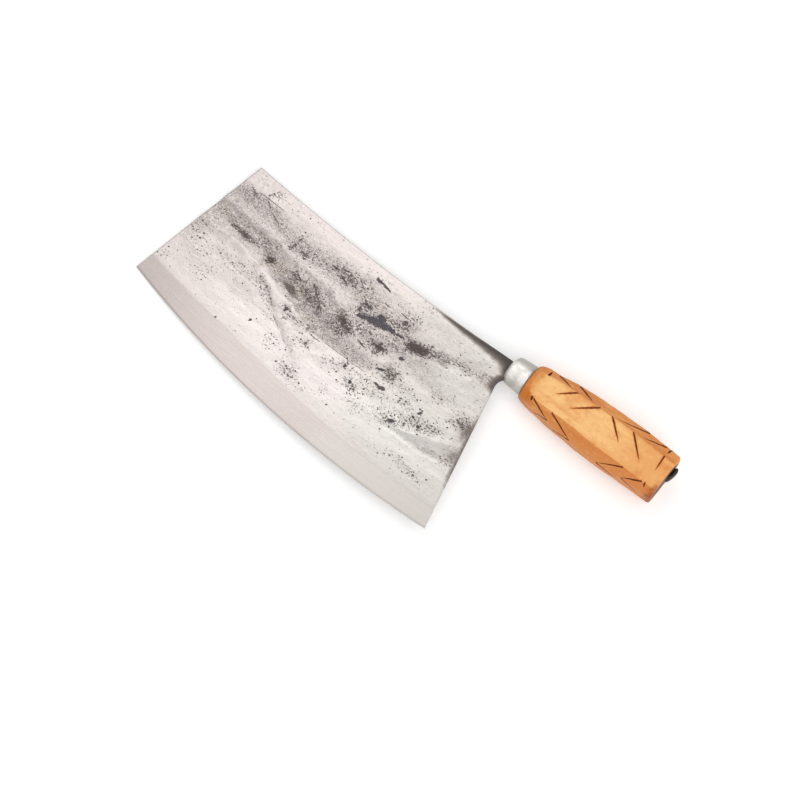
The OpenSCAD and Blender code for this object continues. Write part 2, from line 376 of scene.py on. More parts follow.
# Width of the ground edge, in places along the blade
GRIND_LINE = (
    (-205, 11.2), (-175, 13.2), (-147, 15.0), (-118, 15.4), (-88, 14.6), (-56, 13.6), (-24, 13.0),
    (14, 11.6),
)
# Where the blade thins to the neck, along it and across it
NECK_BLEND_X = (-10.0, -4.2)
NECK_BLEND_Y = (-16.5, -11.0)
# How softly the ground edge meets the main face
GRIND_BLEND = 0.05


def grind_width(x):
    """The ground edge is a little uneven: wide before the middle, narrow at both ends."""
    return smooth_line(GRIND_LINE, x)


def clad_inset(x):
    """Where the grind cuts through to the hard core."""
    width = grind_width(x)
    return (CORE_T - EDGE_T) / 2 * width / (half_at(width) - EDGE_T / 2)


def bare_half(x, y):
    """Half the blade's thickness before the forged relief is added."""
    rise = EDGE_R + EDGE_DIR[0] * (y - EDGE_CENTRE[1]) - EDGE_DIR[1] * (x - EDGE_CENTRE[0])
    inset = inset_of(x, y)
    width = grind_width(x)
    ground = EDGE_T / 2 + (half_at(width) - EDGE_T / 2) * inset / width
    half = soft_min(half_at(rise), ground, GRIND_BLEND)
    keen = 1 - smooth_step(0.0, KEEN_W, inset)
    half = half - keen * (EDGE_T - KEEN_T) / 2
    neck = smooth_step(*NECK_BLEND_X, x) * smooth_step(*NECK_BLEND_Y, y)
    return half + neck * (NECK_T / 2 - half)


# Crests and hollows left by the hammer: a line along the blade, its height, and how far
# it fades towards the spine and towards the edge
UPPER_CREST = (
    (-192, -18), (-178, -18.5), (-160, -19), (-145, -21.5), (-128, -23.5), (-110, -25.5), (-98, -30)
)
LONG_HOLLOW = (
    (-192, -23), (-175, -24), (-158, -27), (-142, -32), (-126, -35.5), (-108, -40), (-90, -45),
    (-56, -48),
)
LOWER_CREST = (
    (-192, -34), (-168, -34.5), (-148, -38.5), (-130, -43), (-114, -47.5), (-100, -51.5), (-80, -51),
    (-56, -50.5),
)
INNER_FOLD = ((-134, -24.5), (-124, -30), (-114, -34), (-104, -39), (-95, -42))
LOW_FOLD = ((-118, -42), (-108, -44.5), (-98, -43.5), (-88, -45.5))
SLANT_HOLLOW = ((-148, -43), (-136, -47), (-124, -56), (-112, -62.5), (-101, -68))
SLANT_CREST = ((-142, -41), (-130, -47.5), (-118, -54), (-106, -60), (-97, -63))
MARK_HOLLOW = ((-64, -22), (-52, -22.5), (-40, -20.5), (-26, -16.5), (-12, -13.5), (-2, -13.5))
MARK_CREST = ((-66, -27.5), (-50, -26.5), (-36, -23.5), (-22, -21.5), (-8, -19), (2, -19))
REAR_HOLLOW = ((-58, -34), (-44, -33.5), (-30, -35.5), (-16, -37))
HEEL_CREST = ((-30, -66), (-21, -61), (-10, -57.5), (3, -54))
HEEL_HOLLOW = ((-30, -68), (-18, -67), (-6, -65.5), (6, -61.5))
FRONT_HOLLOW = ((-190, -40), (-176, -39.5), (-160, -41), (-148, -44))
FRONT_BAND = ((-190, -9), (-178, -10), (-166, -11), (-154, -14), (-140, -16))
RELIEF = (
    (UPPER_CREST, 0.30, 5.0, 2.2),
    (LONG_HOLLOW, -0.34, 5.0, 6.0),
    (LOWER_CREST, 0.30, 2.0, 7.0),
    (INNER_FOLD, 0.16, 2.6, 1.2),
    (LOW_FOLD, 0.12, 1.2, 2.4),
    (SLANT_HOLLOW, -0.055, 1.8, 2.0),
    (SLANT_CREST, 0.045, 1.8, 1.6),
    (MARK_HOLLOW, -0.26, 5.5, 2.2),
    (MARK_CREST, 0.24, 1.8, 6.0),
    (REAR_HOLLOW, -0.12, 4.0, 5.0),
    (HEEL_CREST, 0.26, 1.6, 4.5),
    (HEEL_HOLLOW, -0.26, 3.6, 0.9),
    (FRONT_HOLLOW, -0.14, 3.5, 5.0),
    (FRONT_BAND, -0.14, 5.0, 5.0),
)
# How far a line fades past its ends and inside them
LINE_FADE = 9.0
LINE_INSIDE = 2
# How the lines wander: size along and across, depth and place in the noise
WANDER = (9.0, 7.0, 1.1, 3.1)
# The unevenness between the lines: size along and across, height and place in the noise
UNEVEN = (
    (26.0, 8.0, 0.075, 7.7),
    (9.0, 4.0, 0.045, 12.3),
    (3.6, 2.2, 0.018, 15.9),
)
# The unevenness that is left just above the ground edge, and where it has all come back
CALM_SHARE = 0.35
CALM_REACH = (6.0, 26.0)
# The relief near the spine, how far it takes to grow along the grind and the spine, and
# where it ends at the neck
SPINE_SHARE = 0.15
RIM_REACH = 9.0
NECK_CALM_X = (-14.0, -4.0)
NECK_CALM_Y = (-16.0, -10.0)
RELIEF_GAIN = 1.35
# The middle about which the right face's forging runs the other way
SWAP_MIDDLE = -93.0


def face_places(x, y, side):
    """The right face has its own forging: the same hammer, worked the other way along."""
    if side > 0:
        return x, y
    return 2 * SWAP_MIDDLE - x, y


def forged_relief(x, y, side):
    """Height of the forged surface over the plain face."""
    px, py = face_places(x, y, side)
    size_x, size_y, depth, place = WANDER
    wander = depth * lumps(px, py, size_x, size_y, place + side)
    total = np.zeros_like(px)
    for line, height, above, below in RELIEF:
        off = py + wander - smooth_line(line, px)
        width = np.where(off > 0, above, below)
        first = line[0][0]
        last = line[-1][0]
        ends = smooth_step(first - LINE_FADE, first + LINE_INSIDE, px)
        ends = ends * smooth_step(last + LINE_FADE, last - LINE_INSIDE, px)
        total += height * ends * np.exp(-((off / width) ** 2))
    uneven = np.zeros_like(px)
    for size_x, size_y, height, place in UNEVEN:
        uneven += height * lumps(px, py, size_x, size_y, place + side)
    above_grind = inset_of(x, y) - grind_width(x)
    total += uneven * (CALM_SHARE + (1 - CALM_SHARE) * smooth_step(*CALM_REACH, above_grind))
    forged = smooth_step(0.0, RIM_REACH, above_grind)
    strip = SPINE_SHARE + (1 - SPINE_SHARE) * smooth_step(0.0, RIM_REACH, spine_y(x) - y)
    neck = 1 - smooth_step(*NECK_CALM_X, x) * smooth_step(*NECK_CALM_Y, y)
    return RELIEF_GAIN * total * forged * strip * neck


# What the forge and the fire left on the faces, with painted shade and painted highlights among them:
# places and sizes of patches, each with x, y, half length, half height, turn in degrees and strength
TARNISH = (
    (-180, -10, 12, 6, 0, 0.24),
    (-175, -6, 8, 1.6, -20, 0.26),
    (-160, -10.5, 10, 2.0, -26, 0.30),
    (-158, -12, 12, 6, -8, 0.12),
    (-138, -15, 12, 5, 0, 0.26),
    (-118, -14, 13, 5, 0, 0.30),
    (-103, -13.5, 12, 5, -3, 0.34),
    (-88, -15, 12, 5, 0, 0.20),
    (-184, -24.5, 12, 2.6, -4, 0.30),
    (-168, -27.8, 9, 2.4, -8, 0.56),
    (-157, -24, 14, 3.0, -10, 0.28),
    (-155, -29, 9, 1.8, -4, 0.25),
    (-146, -31, 6, 3.4, -20, 0.66),
    (-148, -22.5, 4, 1.4, -10, 0.30),
    (-137, -34, 9, 4, -18, 0.42),
    (-129, -31, 5, 2.2, -25, 0.60),
    (-126, -37.5, 9, 3.4, -10, 0.86),
    (-117, -31, 9, 5, -25, 0.60),
    (-112, -37, 10, 5.5, -28, 0.86),
    (-100, -38, 9, 5, -12, 0.74),
    (-104, -28.5, 9, 2.4, -25, 0.36),
    (-91, -35, 7, 4.4, -25, 0.80),
    (-95, -41, 12, 3, 0, 0.46),
    (-83, -39, 5, 2.6, 0, 0.34),
    (-124, -42, 11, 2.4, -8, 0.42),
    (-111, -43.6, 9, 2.6, -6, 0.50),
    (-41, -27.5, 16, 3.6, 5, 0.22),
    (-30, -33, 14, 5, 0, 0.04),
    (-14, -22, 12, 6, 0, 0.05),
    (-96, -46.5, 20, 4.4, 0, 0.18),
    (-72, -44, 12, 6, 0, 0.10),
    (-76, -33, 8, 4, 0, 0.34),
    (-67, -35, 6, 3.2, 0, 0.62),
    (-60, -29, 7, 3.6, 0, 0.34),
    (-86, -27, 10, 4, 0, 0.16),
    (-77, -21, 14, 6, 0, 0.30),
    (-61, -15, 4, 3.4, 0, 0.30),
    (-51, -22.4, 10, 3.4, 4, 0.88),
    (-50, -22.6, 7, 2.0, 4, 0.95),
    (-38, -19, 9, 3.0, 14, 0.50),
    (-24, -16, 11, 2.8, 10, 0.26),
    (-30, -6, 22, 6, 0, 0.12),
    (-6, -14, 7, 4, 10, 0.55),
    (-53, -41.5, 6, 4, 0, 0.46),
    (-50, -33, 12, 4, 0, 0.12),
    (-24, -36, 18, 5, 3, 0.12),
    (-192, -40, 7, 10, 0, 0.20),
    (-170, -45, 10, 3, 0, 0.08),
    (-141, -43.5, 7, 1.4, -30, 0.20),
    (-130, -50, 8, 1.2, -32, 0.16),
    (-117, -57.5, 8, 1.4, -33, 0.24),
    (-104, -66, 9, 3.2, -25, 0.16),
    # The heel's edge darkens here: partly scale, partly painted shade of the rounded edge
    (0, -42, 7, 6, -15, 0.66),
    (2, -58, 5, 7, 12, 0.40),
    # A thin strip of painted shadow under the mound in front of the heel
    (-10, -64.5, 14, 1.8, 10, 0.34),
    (-20, -55.5, 10, 3.5, 10, 0.22),
    (-98, -75.5, 8, 4, 0, 0.10),
    (-152, -54, 17, 5, -6, 0.11),
    (-180, -57, 14, 9, 0, 0.05),
    (-8, -79, 12, 1.6, 0, 0.16),
)
SCALE = (
    (-77, -24.2, 11, 3.2, 9, 1.0),
    (-84.5, -26.5, 4.8, 1.8, 10, 1.0),
    (-75.5, -20.6, 3.6, 2.4, -12, 0.95),
    (-68, -23.0, 6.0, 1.9, 5, 0.95),
    (-86, -19.4, 4.4, 1.2, -8, 0.55),
    (-89, -23.5, 1.3, 3.2, 10, 0.5),
    (-61.5, -22.3, 3.4, 1.1, 5, 0.85),
    (-53.2, -32.4, 2.0, 1.8, 40, 1.0),
    (-51, -51.9, 3.8, 1.5, 4, 1.0),
    (-55.4, -51.6, 1.7, 0.9, 0, 1.0),
    (-90.4, -4.1, 2.8, 1.6, -8, 1.0),
    (-88, -4.4, 3.0, 0.9, -8, 1.0),
    (-85, -5.0, 4.8, 0.9, -8, 1.0),
    (-114, -12.7, 2.6, 0.7, -5, 0.7),
    (-64, -15, 1.8, 2.0, 0, 0.5),
    (-36, -63.6, 2.4, 1.4, 0, 0.9),
    (-67, -59.8, 1.8, 1.2, -15, 0.8),
    (-27, -54.4, 1.5, 1.3, 0, 0.95),
    (-22.5, -57, 1.2, 1.2, 0, 0.9),
    (-25.5, -50.8, 1.5, 1.3, 0, 0.9),
    (-133, -65.4, 1.2, 1.1, -30, 1.0),
    (-149.5, -75.6, 1.0, 1.1, 0, 0.95),
    (-74.2, -54.8, 1.2, 1.7, 0, 0.9),
    (-121, -48.4, 1.3, 1.4, 0, 0.8),
    (-58, -44, 2.6, 0.9, 28, 0.6),
)
PITTING = (
    (-168.5, -28.2, 10, 1.9, -4, 1.10),
    (-145.5, -31.4, 4, 2.6, -20, 1.10),
    (-50, -22.4, 8, 3.0, 2, 1.35),
    (-91, -35, 7, 3.6, -28, 1.00),
    (-67, -35, 5, 2.6, 0, 1.15),
    (-36, -63.8, 4, 1.8, 0, 1.00),
    (-66, -61, 4, 2, -30, 0.90),
    (-14, -54, 4, 3.4, 0, 0.80),
    (-133, -18, 2.4, 1.8, 0, 1.05),
    (-141, -12.5, 1.6, 2.2, 0, 1.10),
    (-141, -18, 2, 2, 0, 1.05),
    (-53, -42, 4, 3.2, 0, 1.00),
    (-121, -48, 2.4, 2.4, 0, 1.10),
    (-153, -24, 9, 3.5, 0, 0.42),
    (-180, -6, 10, 3, -20, 0.35),
    (-184, -24, 12, 4, 0, 0.25),
    (-139, -14, 7, 5, 0, 0.42),
    (-132, -18, 5, 3, 0, 0.55),
    (-120, -15, 14, 5, 0, 0.32),
    (-106, -13, 7, 4.0, 0, 0.55),
    (-95, -12, 10, 5, 0, 0.42),
    (-126, -31, 12, 5, -28, 0.50),
    (-112, -33, 7, 6, -35, 0.56),
    (-95, -32, 3, 2, -30, 0.60),
    (-88, -36, 6, 3.6, -20, 0.85),
    (-80, -31, 7, 4, 0, 0.60),
    (-66, -35, 6, 3.6, 0, 1.00),
    (-74, -38.5, 7, 2.5, -5, 0.65),
    (-92, -40, 6, 3, 0, 0.70),
    (-88, -21, 5, 6, 0, 0.72),
    (-70, -19, 14, 5, 0, 0.46),
    (-60, -10, 5, 4, 0, 0.60),
    (-64, -16, 4, 4, 0, 0.85),
    (-52, -41.5, 7, 4.5, 0, 0.70),
    (-60, -27, 8, 4, 10, 0.55),
    (-40, -19, 12, 4, 14, 0.62),
    (-20, -15, 10, 3.6, 12, 0.42),
    (-70, -46, 22, 4, 0, 0.30),
    (-98, -75, 10, 5.5, -20, 0.60),
    (-86, -80, 3, 3, 0, 0.45),
    (-76, -73, 3, 3, 0, 0.55),
    (-66, -61, 6, 4.5, -20, 0.66),
    (-56, -71, 4, 4, 0, 0.35),
    (-80, -57, 7, 4, 0, 0.60),
    (-74, -54, 4, 3, 0, 0.75),
    (-100, -57, 4, 3.6, 0, 0.75),
    (-64, -53, 10, 3, 0, 0.45),
    (-38, -63, 11, 4.0, 3, 0.60),
    (-52, -56, 12, 4, 0, 0.46),
    (-18, -54, 12, 5.0, 12, 0.52),
    (-36, -51, 10, 3, 0, 0.60),
    (-28, -58, 8, 4, 0, 0.62),
    (-22, -37, 7, 3, 0, 0.40),
    (-5, -41, 8, 5, -10, 0.74),
    (-8, -80, 9, 3, 0, 0.50),
    (-20, -78, 7, 3, 0, 0.34),
    (2, -64, 5, 4, 0, 0.50),
    (-118, -50, 8, 4, -20, 0.60),
    (-148, -45, 10, 4, -15, 0.42),
    (-134, -48, 9, 4, -20, 0.44),
    (-108, -50, 8, 3, 0, 0.50),
    (-106, -62, 6, 4, 0, 0.40),
    (-42, -45, 14, 3, 0, 0.42),
    (-44, -67, 10, 4, 0, 0.20),
    (-60, -66, 9, 5, 0, 0.24),
    (-141, -44, 8, 3, -35, 0.40),
    (-128, -55, 8, 3, -35, 0.40),
    (-163, -46, 9, 3, 0, 0.38),
    (-190, -41, 7, 8, 0, 0.42),
    (-180, -50, 9, 5, 0, 0.32),
    (-172, -60, 8, 4, 0, 0.32),
    (-116, -68, 6, 6, 0, 0.40),
    (-196, -65, 4, 5, 0, 0.35),
    (-168, 1, 7, 3.6, 20, 0.50),
    (-57, -1, 4, 2, 0, 0.45),
    (-90, -3, 8, 3, 0, 0.40),
)
RUST = (
    (-141, -31, 6, 6, -20, 0.75),
    (-121, -35.5, 3.4, 3, 0, 0.70),
    (-103, -47.5, 9, 3.4, 0, 0.65),
    (-148, -37.5, 5, 2.4, 0, 0.50),
    (-188, -22, 6, 3, 0, 0.35),
    (-60, -17, 5, 4, 0, 0.35),
    (-86, -17, 6, 3, 0, 0.35),
    (4, -40, 3, 4, 0, 0.50),
    (4, -64, 4, 3, 0, 0.50),
)
SMEAR = (
    (-50, -22.6, 8, 2.5, 4, 0.90),
    (-38, -20.2, 7, 1.6, 14, 0.35),
    (-127, -38, 6, 2.3, -10, 0.90),
    (-129, -31, 4, 1.4, -25, 0.50),
    (-146, -31.2, 3.4, 2.0, -20, 0.80),
    (-169, -28.2, 7, 1.0, -4, 0.50),
    (-114, -36.5, 3.0, 2.6, -40, 0.45),
    (-107, -40.5, 5, 2, -30, 0.45),
    (-92.5, -34.0, 5, 1.8, -32, 0.46),
    (-88, -36.6, 3.6, 1.6, -20, 0.42),
    (-67, -35, 4, 1.9, 0, 0.62),
    (-53, -42, 3, 2.4, 0, 0.22),
    (-84, -39, 5, 1.6, 0, 0.25),
)
# Paler places: polished ones, and painted highlights along the crests
POLISH_AND_HIGHLIGHT = (
    (-60, -68, 70, 13, 0, 0.90),
    (-120, -68, 50, 8, -8, 0.70),
    (-20, -28, 16, 8, 0, 0.50),
    (-24, -6, 14, 5, 0, 0.35),
    (-112, -23.5, 14, 2.4, -5, 0.6),
    (-160, -18.5, 12, 2.4, -3, 0.6),
    (-150, -36, 12, 2.4, -10, 0.4),
)


# How a soft patch falls off towards its rim
PATCH_FALL = 1.1
PATCH_ROUND = 1.3


def patch_place(patch, x, y):
    """Each point's place in a patch, in half lengths and half heights from its middle."""
    px, py, half_x, half_y, degrees, _ = patch
    turn = math.radians(degrees)
    dx = x - px
    dy = y - py
    u = (dx * math.cos(turn) + dy * math.sin(turn)) / half_x
    v = (dy * math.cos(turn) - dx * math.sin(turn)) / half_y
    return u, v


def patches(table, x, y):
    """The strongest patch at each point: 1 in its middle, 0 at its rim and below it outside."""
    best = np.full(np.shape(x), -1.0)
    for patch in table:
        best = np.maximum(best, patch[-1] * (1 - np.hypot(*patch_place(patch, x, y))))
    return best


def soft_patches(table, x, y):
    """Patches that fade out softly and add up, up to 1."""
    total = np.zeros(np.shape(x))
    for patch in table:
        u, v = patch_place(patch, x, y)
        share = patch[-1] * np.exp(-PATCH_FALL * (u * u + v * v) ** PATCH_ROUND)
        total = np.maximum(total + share * (1 - np.minimum(total, 1)), share)
    return total


# Width of the burnt band under the spine, in places along the blade, and where it grows
BURNT_BAND = ((-66, 1.2), (-52, 2.2), (-40, 3.4), (-24, 5.0), (-10, 7.2), (-4, 11.5))
BURNT_START = (-72, -38)
BURNT_FADE = 1.25
BURNT_LEAST = 0.6
# The worn light corner on top of the band: where it starts, along the blade, its width
# under the spine and how much it takes off
WORN_START = (-12, -30)
WORN_WIDTH = (0.9, 0.2)
WORN_SHARE = 0.8
# Rims in front of the heel's edge: a burnt one at its root, and one along it that is partly scale and
# partly painted shade of the rounded edge. How far they reach, where they lie and how strong
ROOT_REACH = 6.6
ROOT_LOW = (-21.5, -13.5)
ROOT_STRENGTH = 0.8
HEEL_REACH = 4.0
HEEL_LOW = (-88, -62)
HEEL_HIGH = (-28, -42)
HEEL_STRENGTH = 0.55
# Burnt spots on the heel: x, y, half length, half height and strength
BURNT_SPOTS = ((1.0, -43, 3.0, 6.5, 0.5), (4.0, -58, 3.0, 6.0, 0.35))


def heat_and_heel_shade(x, y):
    """Blackening of the neck, the spine before it and the heel's root, and a dark rim along the heel's
    edge: partly scale, partly painted shade.
    """
    down = spine_y(x) - y
    band = BURNT_FADE * np.interp(x, *zip(*BURNT_BAND)) + BURNT_LEAST
    spine = (1 - smooth_step(0.0, band, down)) * smooth_step(*BURNT_START, x)
    spine = spine * (1 - WORN_SHARE * smooth_step(*WORN_WIDTH, down) * smooth_step(*WORN_START, x))
    behind = heel_x(np.minimum(y, NECK_BOTTOM - 1.0)) - x
    root = (1 - smooth_step(0.0, ROOT_REACH, behind)) * smooth_step(*ROOT_LOW, y)
    # Painted shade, with scale, along the heel's rounded edge
    heel = (1 - smooth_step(0.0, HEEL_REACH, behind)) * smooth_step(*HEEL_LOW, y)
    heel = heel * smooth_step(*HEEL_HIGH, y)
    spots = np.zeros(np.shape(x))
    for px, py, half_x, half_y, strength in BURNT_SPOTS:
        spots += strength * bell(x, px, half_x) * bell(y, py, half_y)
    rest = np.maximum(HEEL_STRENGTH * heel, spots)
    return np.clip(np.maximum(spine + ROOT_STRENGTH * root, rest), 0, 1)


ALONG = 0
ACROSS = 1
# The thin grey film: how much lies everywhere, then the bands of more of it. Each has its
# strength and its rims, which grow along or across the blade from one place to the other
FILM_LEAST = 0.06
FILM_BANDS = (
    (0.072, ((ACROSS, -1.0, -8.0), (ACROSS, -40, -30))),
    (0.168, ((ACROSS, -1.0, -8.0), (ACROSS, -40, -30), (ALONG, -30, -75))),
    (0.07, ((ACROSS, -3.0, 3.0), (ALONG, -20, -60))),
    (0.09, ((ALONG, -130, -185), (ACROSS, -74, -55))),
)
# The band under the centre, whose straight lower rim hardly wavers
STRAIGHT_BAND = (0.28, ((ACROSS, -40, -46), (ALONG, -112, -100), (ALONG, -56, -76)))
STRAIGHT_RIM = (-50.9, -50.3)
STRAIGHT_WAVER = 0.2


def film_band(band, x, y):
    strength, rims = band
    for way, start, end in rims:
        strength = strength * smooth_step(start, end, (x, y)[way])
    return strength


def grey_film(y, wx, wy):
    """The film over a face; wx and wy are the wavering places, and y is the plain one."""
    film = FILM_LEAST + sum(film_band(band, wx, wy) for band in FILM_BANDS)
    straight = smooth_step(*STRAIGHT_RIM, y + STRAIGHT_WAVER * (wy - y))
    return film + straight * film_band(STRAIGHT_BAND, wx, wy)


# How the rims of the patches waver: size along and across, then how far along and across
WAVER = ((7.0, 5.0, 1.5, 1.2), (2.6, 2.0, 0.7, 0.6))
WAVER_ALONG = 21
WAVER_ACROSS = 23
# How much of it the rims of the scale and of the smears take, along and across
SCALE_WAVER = (0.45, 0.35)
SMEAR_WAVER = (0.6, 0.5)
# Over which heights above the grind the forged skin starts and the ground edge ends
SKIN_START = (-1.0, 2.0)
GROUND_END = (-1.4, 1.4)
# How much darker a hollow is for each millimetre, and the depth past which it doesn't matter
HOLLOW_FILM = 0.5
HOLLOW_DEPTH = 0.4


def face_fields(x, y, relief, side):
    """What the finish reads at each point of a face."""
    px, py = face_places(x, y, side)
    off_x = np.zeros_like(px)
    off_y = np.zeros_like(px)
    for i, (size_x, size_y, along, across) in enumerate(WAVER):
        off_x += along * lumps(px, py, size_x, size_y, WAVER_ALONG + i)
        off_y += across * lumps(px, py, size_x, size_y, WAVER_ACROSS + i)
    wx = px + off_x
    wy = py + off_y
    above_grind = inset_of(x, y) - grind_width(x)
    forged = smooth_step(*SKIN_START, above_grind)
    sunk = HOLLOW_FILM * np.clip(-relief, 0, HOLLOW_DEPTH)
    tarnish = soft_patches(TARNISH, wx, wy) + grey_film(py, wx, wy) + sunk
    scale_places = (px + SCALE_WAVER[0] * off_x, py + SCALE_WAVER[1] * off_y)
    smear_places = (px + SMEAR_WAVER[0] * off_x, py + SMEAR_WAVER[1] * off_y)
    fields = {
        "tarnish": np.clip(tarnish, 0, 1) * forged,
        "scale": patches(SCALE, *scale_places),
        "pitting": soft_patches(PITTING, wx, wy) * forged,
        "rust": soft_patches(RUST, wx, wy),
        "smear": soft_patches(SMEAR, *smear_places) * forged,
        "sheen": soft_patches(POLISH_AND_HIGHLIGHT, wx, wy) * forged,
        "ground": 1 - smooth_step(*GROUND_END, above_grind),
        "scorch": heat_and_heel_shade(x, y),
    }
    return {name: np.ravel(values) for name, values in fields.items()}


# The blade's pieces

EASE_REACH = 0.55
EASE_DEPTH = 0.22
FACE_ROWS = 188
FACE_COLUMNS = 404
BLADE_LONG = 205.0
BLADE_HIGH = 100.0
# Half the thickness that every hollow leaves, and the least room that it has
LEAST_HALF = 0.52
LEAST_ROOM = 0.02


def eased(x, y):
    """How much the corners of the spine, the front and the heel are broken."""
    off = np.minimum(spine_y(x) - y, (x - front_x(y)) * math.cos(FRONT_SLANT))
    off = np.minimum(off, (heel_x(y) - x) * math.cos(HEEL_SLANT))
    near = np.clip(1 - off / EASE_REACH, 0.0, 1.0)
    return EASE_DEPTH * near * near


def clad_line(x):
    """The line along which the cheeks end and the core comes out."""
    return edge_y(x, clad_inset(x))


def cheek(name, side, finish):
    """A soft-iron cheek: its forged face, and a flat face against the core."""
    share = close_steps(FACE_ROWS, BLADE_HIGH)[len(RIM_STEPS) - 1:]
    share = (share - share[0]) / (1 - share[0])
    x, y = blade_grid(clad_line, share, close_steps(FACE_COLUMNS, BLADE_LONG))
    bare = bare_half(x, y)
    relief = forged_relief(x, y, side)
    room = np.clip(bare - LEAST_HALF, LEAST_ROOM, None)
    relief = np.where(relief < 0, room * np.tanh(relief / room), relief)
    top = bare + relief - eased(x, y) * smooth_step(0.0, 3.0, bare * 10 - 4)
    top = np.maximum(top, CORE_T / 2)
    top[0, :] = CORE_T / 2
    rows, columns = x.shape
    left = [(r, 0) for r in range(1, rows)]
    upper = [(rows - 1, c) for c in range(1, columns)]
    right = [(r, columns - 1) for r in range(rows - 2, 0, -1)]
    rim = left + upper + right
    count = rows * columns
    under = [(x[r, c], y[r, c], side * CORE_T / 2) for r, c in rim]
    points = np.stack([x, y, side * top], axis=-1).reshape(-1, 3)
    points = np.concatenate([points, np.array(under)])
    faces = grid_faces(rows, columns)
    top_rim = [0] + [r * columns + c for r, c in rim] + [columns - 1]
    low_rim = [0] + [count + i for i in range(len(rim))] + [columns - 1]
    for i in range(len(top_rim) - 1):
        wall = [top_rim[i], top_rim[i + 1], low_rim[i + 1], low_rim[i]]
        faces.append(tuple(dict.fromkeys(wall)))
    lowest = list(range(columns - 2, 0, -1))
    faces.append(tuple(low_rim + lowest))
    rim_points = np.array(top_rim[1:-1])
    fields = face_fields(x, y, relief, side)
    fields = {k: np.concatenate([v, v[rim_points]]) for k, v in fields.items()}
    return make_piece(name, points, faces, [finish], sharp=28.0, fields=fields)


# Rows of the core's bare strip, in eighths of the way to the cheeks: the closer ones
# draw the honed edge
STRIP = 8.0
HONED_ROWS = (0.0, 0.2, 0.45, 0.7, 0.9)
STRIP_ROWS = 11
CORE_ROWS = 40


def core(name, finish):
    """The hard core: bare along the cutting edge, and flat between the cheeks above it."""
    along = close_steps(FACE_COLUMNS, BLADE_LONG)
    strip = list(HONED_ROWS)
    honed = HONED_ROWS[-1]
    strip += [honed + (STRIP - honed) * i / STRIP_ROWS for i in range(1, STRIP_ROWS + 1)]
    grids = []
    for step in strip:
        grids.append(blade_grid(lambda px, s=step: edge_y(px, s / STRIP * clad_inset(px)), [0.0], along))
    grids.append(blade_grid(clad_line, np.linspace(0, 1, CORE_ROWS)[1:], along))
    x = np.concatenate([grid[0] for grid in grids])
    y = np.concatenate([grid[1] for grid in grids])
    bare = len(strip)
    half = np.full(x.shape, CORE_T / 2)
    half[:bare] = np.minimum(bare_half(x[:bare], y[:bare]), CORE_T / 2)
    half[bare - 1] = CORE_T / 2
    half[0] = 0.0
    rows, columns = x.shape
    upper = np.stack([x, y, half], axis=-1).reshape(-1, 3)
    lower = np.stack([x, y, -half], axis=-1)[1:].reshape(-1, 3)
    points = np.concatenate([upper, lower])
    count = rows * columns

    def under(r, c):
        return c if r == 0 else count + (r - 1) * columns + c

    faces = grid_faces(rows, columns)
    for r in range(rows - 1):
        for c in range(columns - 1):
            faces.append((under(r, c), under(r, c + 1), under(r + 1, c + 1), under(r + 1, c)))
    rim = [(r, 0) for r in range(rows)] + [(rows - 1, c) for c in range(1, columns)]
    rim += [(r, columns - 1) for r in range(rows - 2, -1, -1)]
    for (r0, c0), (r1, c1) in zip(rim, rim[1:]):
        wall = [r0 * columns + c0, r1 * columns + c1, under(r1, c1), under(r0, c0)]
        faces.append(tuple(dict.fromkeys(wall)))
    fields = face_fields(x, y, np.zeros_like(x), 1)
    fields = {k: np.concatenate([v, v[columns:]]) for k, v in fields.items()}
    return make_piece(name, points, faces, [finish], sharp=28.0, fields=fields)


# The ferrule

DOME_STEPS = 12
SIDE_STEPS = 16
FERRULE_AROUND = 96
# Shares of the plain side over which the rim turns in, and the middle and reach of the
# bead before it
RIM_TURN = (0.9, 1.0)
BEAD_PLACE = (0.86, 0.04)
RIM_GAP = 0.35
DOME_WALL = 0.6
NOSE_R = 2.0


def ferrule_profile():
    """The thimble's outer line from its nose to its rim, then its inner line back again."""
    outer = []
    for i in range(1, DOME_STEPS + 1):
        a = math.pi / 2 * i / DOME_STEPS
        outer.append((-FERRULE_DOME * math.cos(a), FERRULE_FRONT_R * math.sin(a)))
    for i in range(1, SIDE_STEPS + 1):
        t = i / SIDE_STEPS
        rim = FERRULE_RIM * smooth_step(*RIM_TURN, t) - FERRULE_BEAD * bell(t, *BEAD_PLACE)
        radius = FERRULE_FRONT_R + (FERRULE_REAR_R - FERRULE_FRONT_R) * t
        outer.append(((FERRULE_SEEN - RIM_GAP) * t, radius - rim))
    inner = [(x + DOME_WALL * (x < 0), r - FERRULE_WALL) for x, r in outer[::-1] if r > NOSE_R]
    return outer + inner


# Shallow dents and finer ripples in the sheet: size along it, turns round it, depth and
# place in the noise
DENTS = ((7, 1.3, 0.07, 4), (2, 5, 0.015, 0))
SHEET_DOWN = 0.05
DENT_FULL_R = 6.0


def ferrule_dent(x, a):
    """How far the sheet is dented at a place along it and an angle round it."""
    total = 0.0
    for size, turns, depth, place in DENTS:
        spot = (x / size, turns * math.sin(a), turns * math.cos(a) + place)
        total += depth * noise.noise(Vector(spot))
    return total


def ferrule(name, finish):
    """A sheet thimble: rounded front, plain side and a rear rim turned in a little."""
    around = FERRULE_AROUND
    profile = ferrule_profile()
    points = [(-FERRULE_DOME, 0.0, 0.0)]
    for x, r in profile:
        for j in range(around):
            a = 2 * math.pi * j / around
            radius = r + ferrule_dent(x, a) * min(1.0, r / DENT_FULL_R) - SHEET_DOWN
            points.append((x, radius * math.sin(a), radius * math.cos(a)))
    faces = [(0, 1 + (j + 1) % around, 1 + j) for j in range(around)]
    faces += grid_faces(len(profile), around, first=1, loop=True)
    last = 1 + (len(profile) - 1) * around
    faces.append(tuple(last + j for j in range(around)))
    piece = make_piece(name, points, faces, [finish], sharp=40.0)
    cut_away(piece, neck_slot())
    return piece


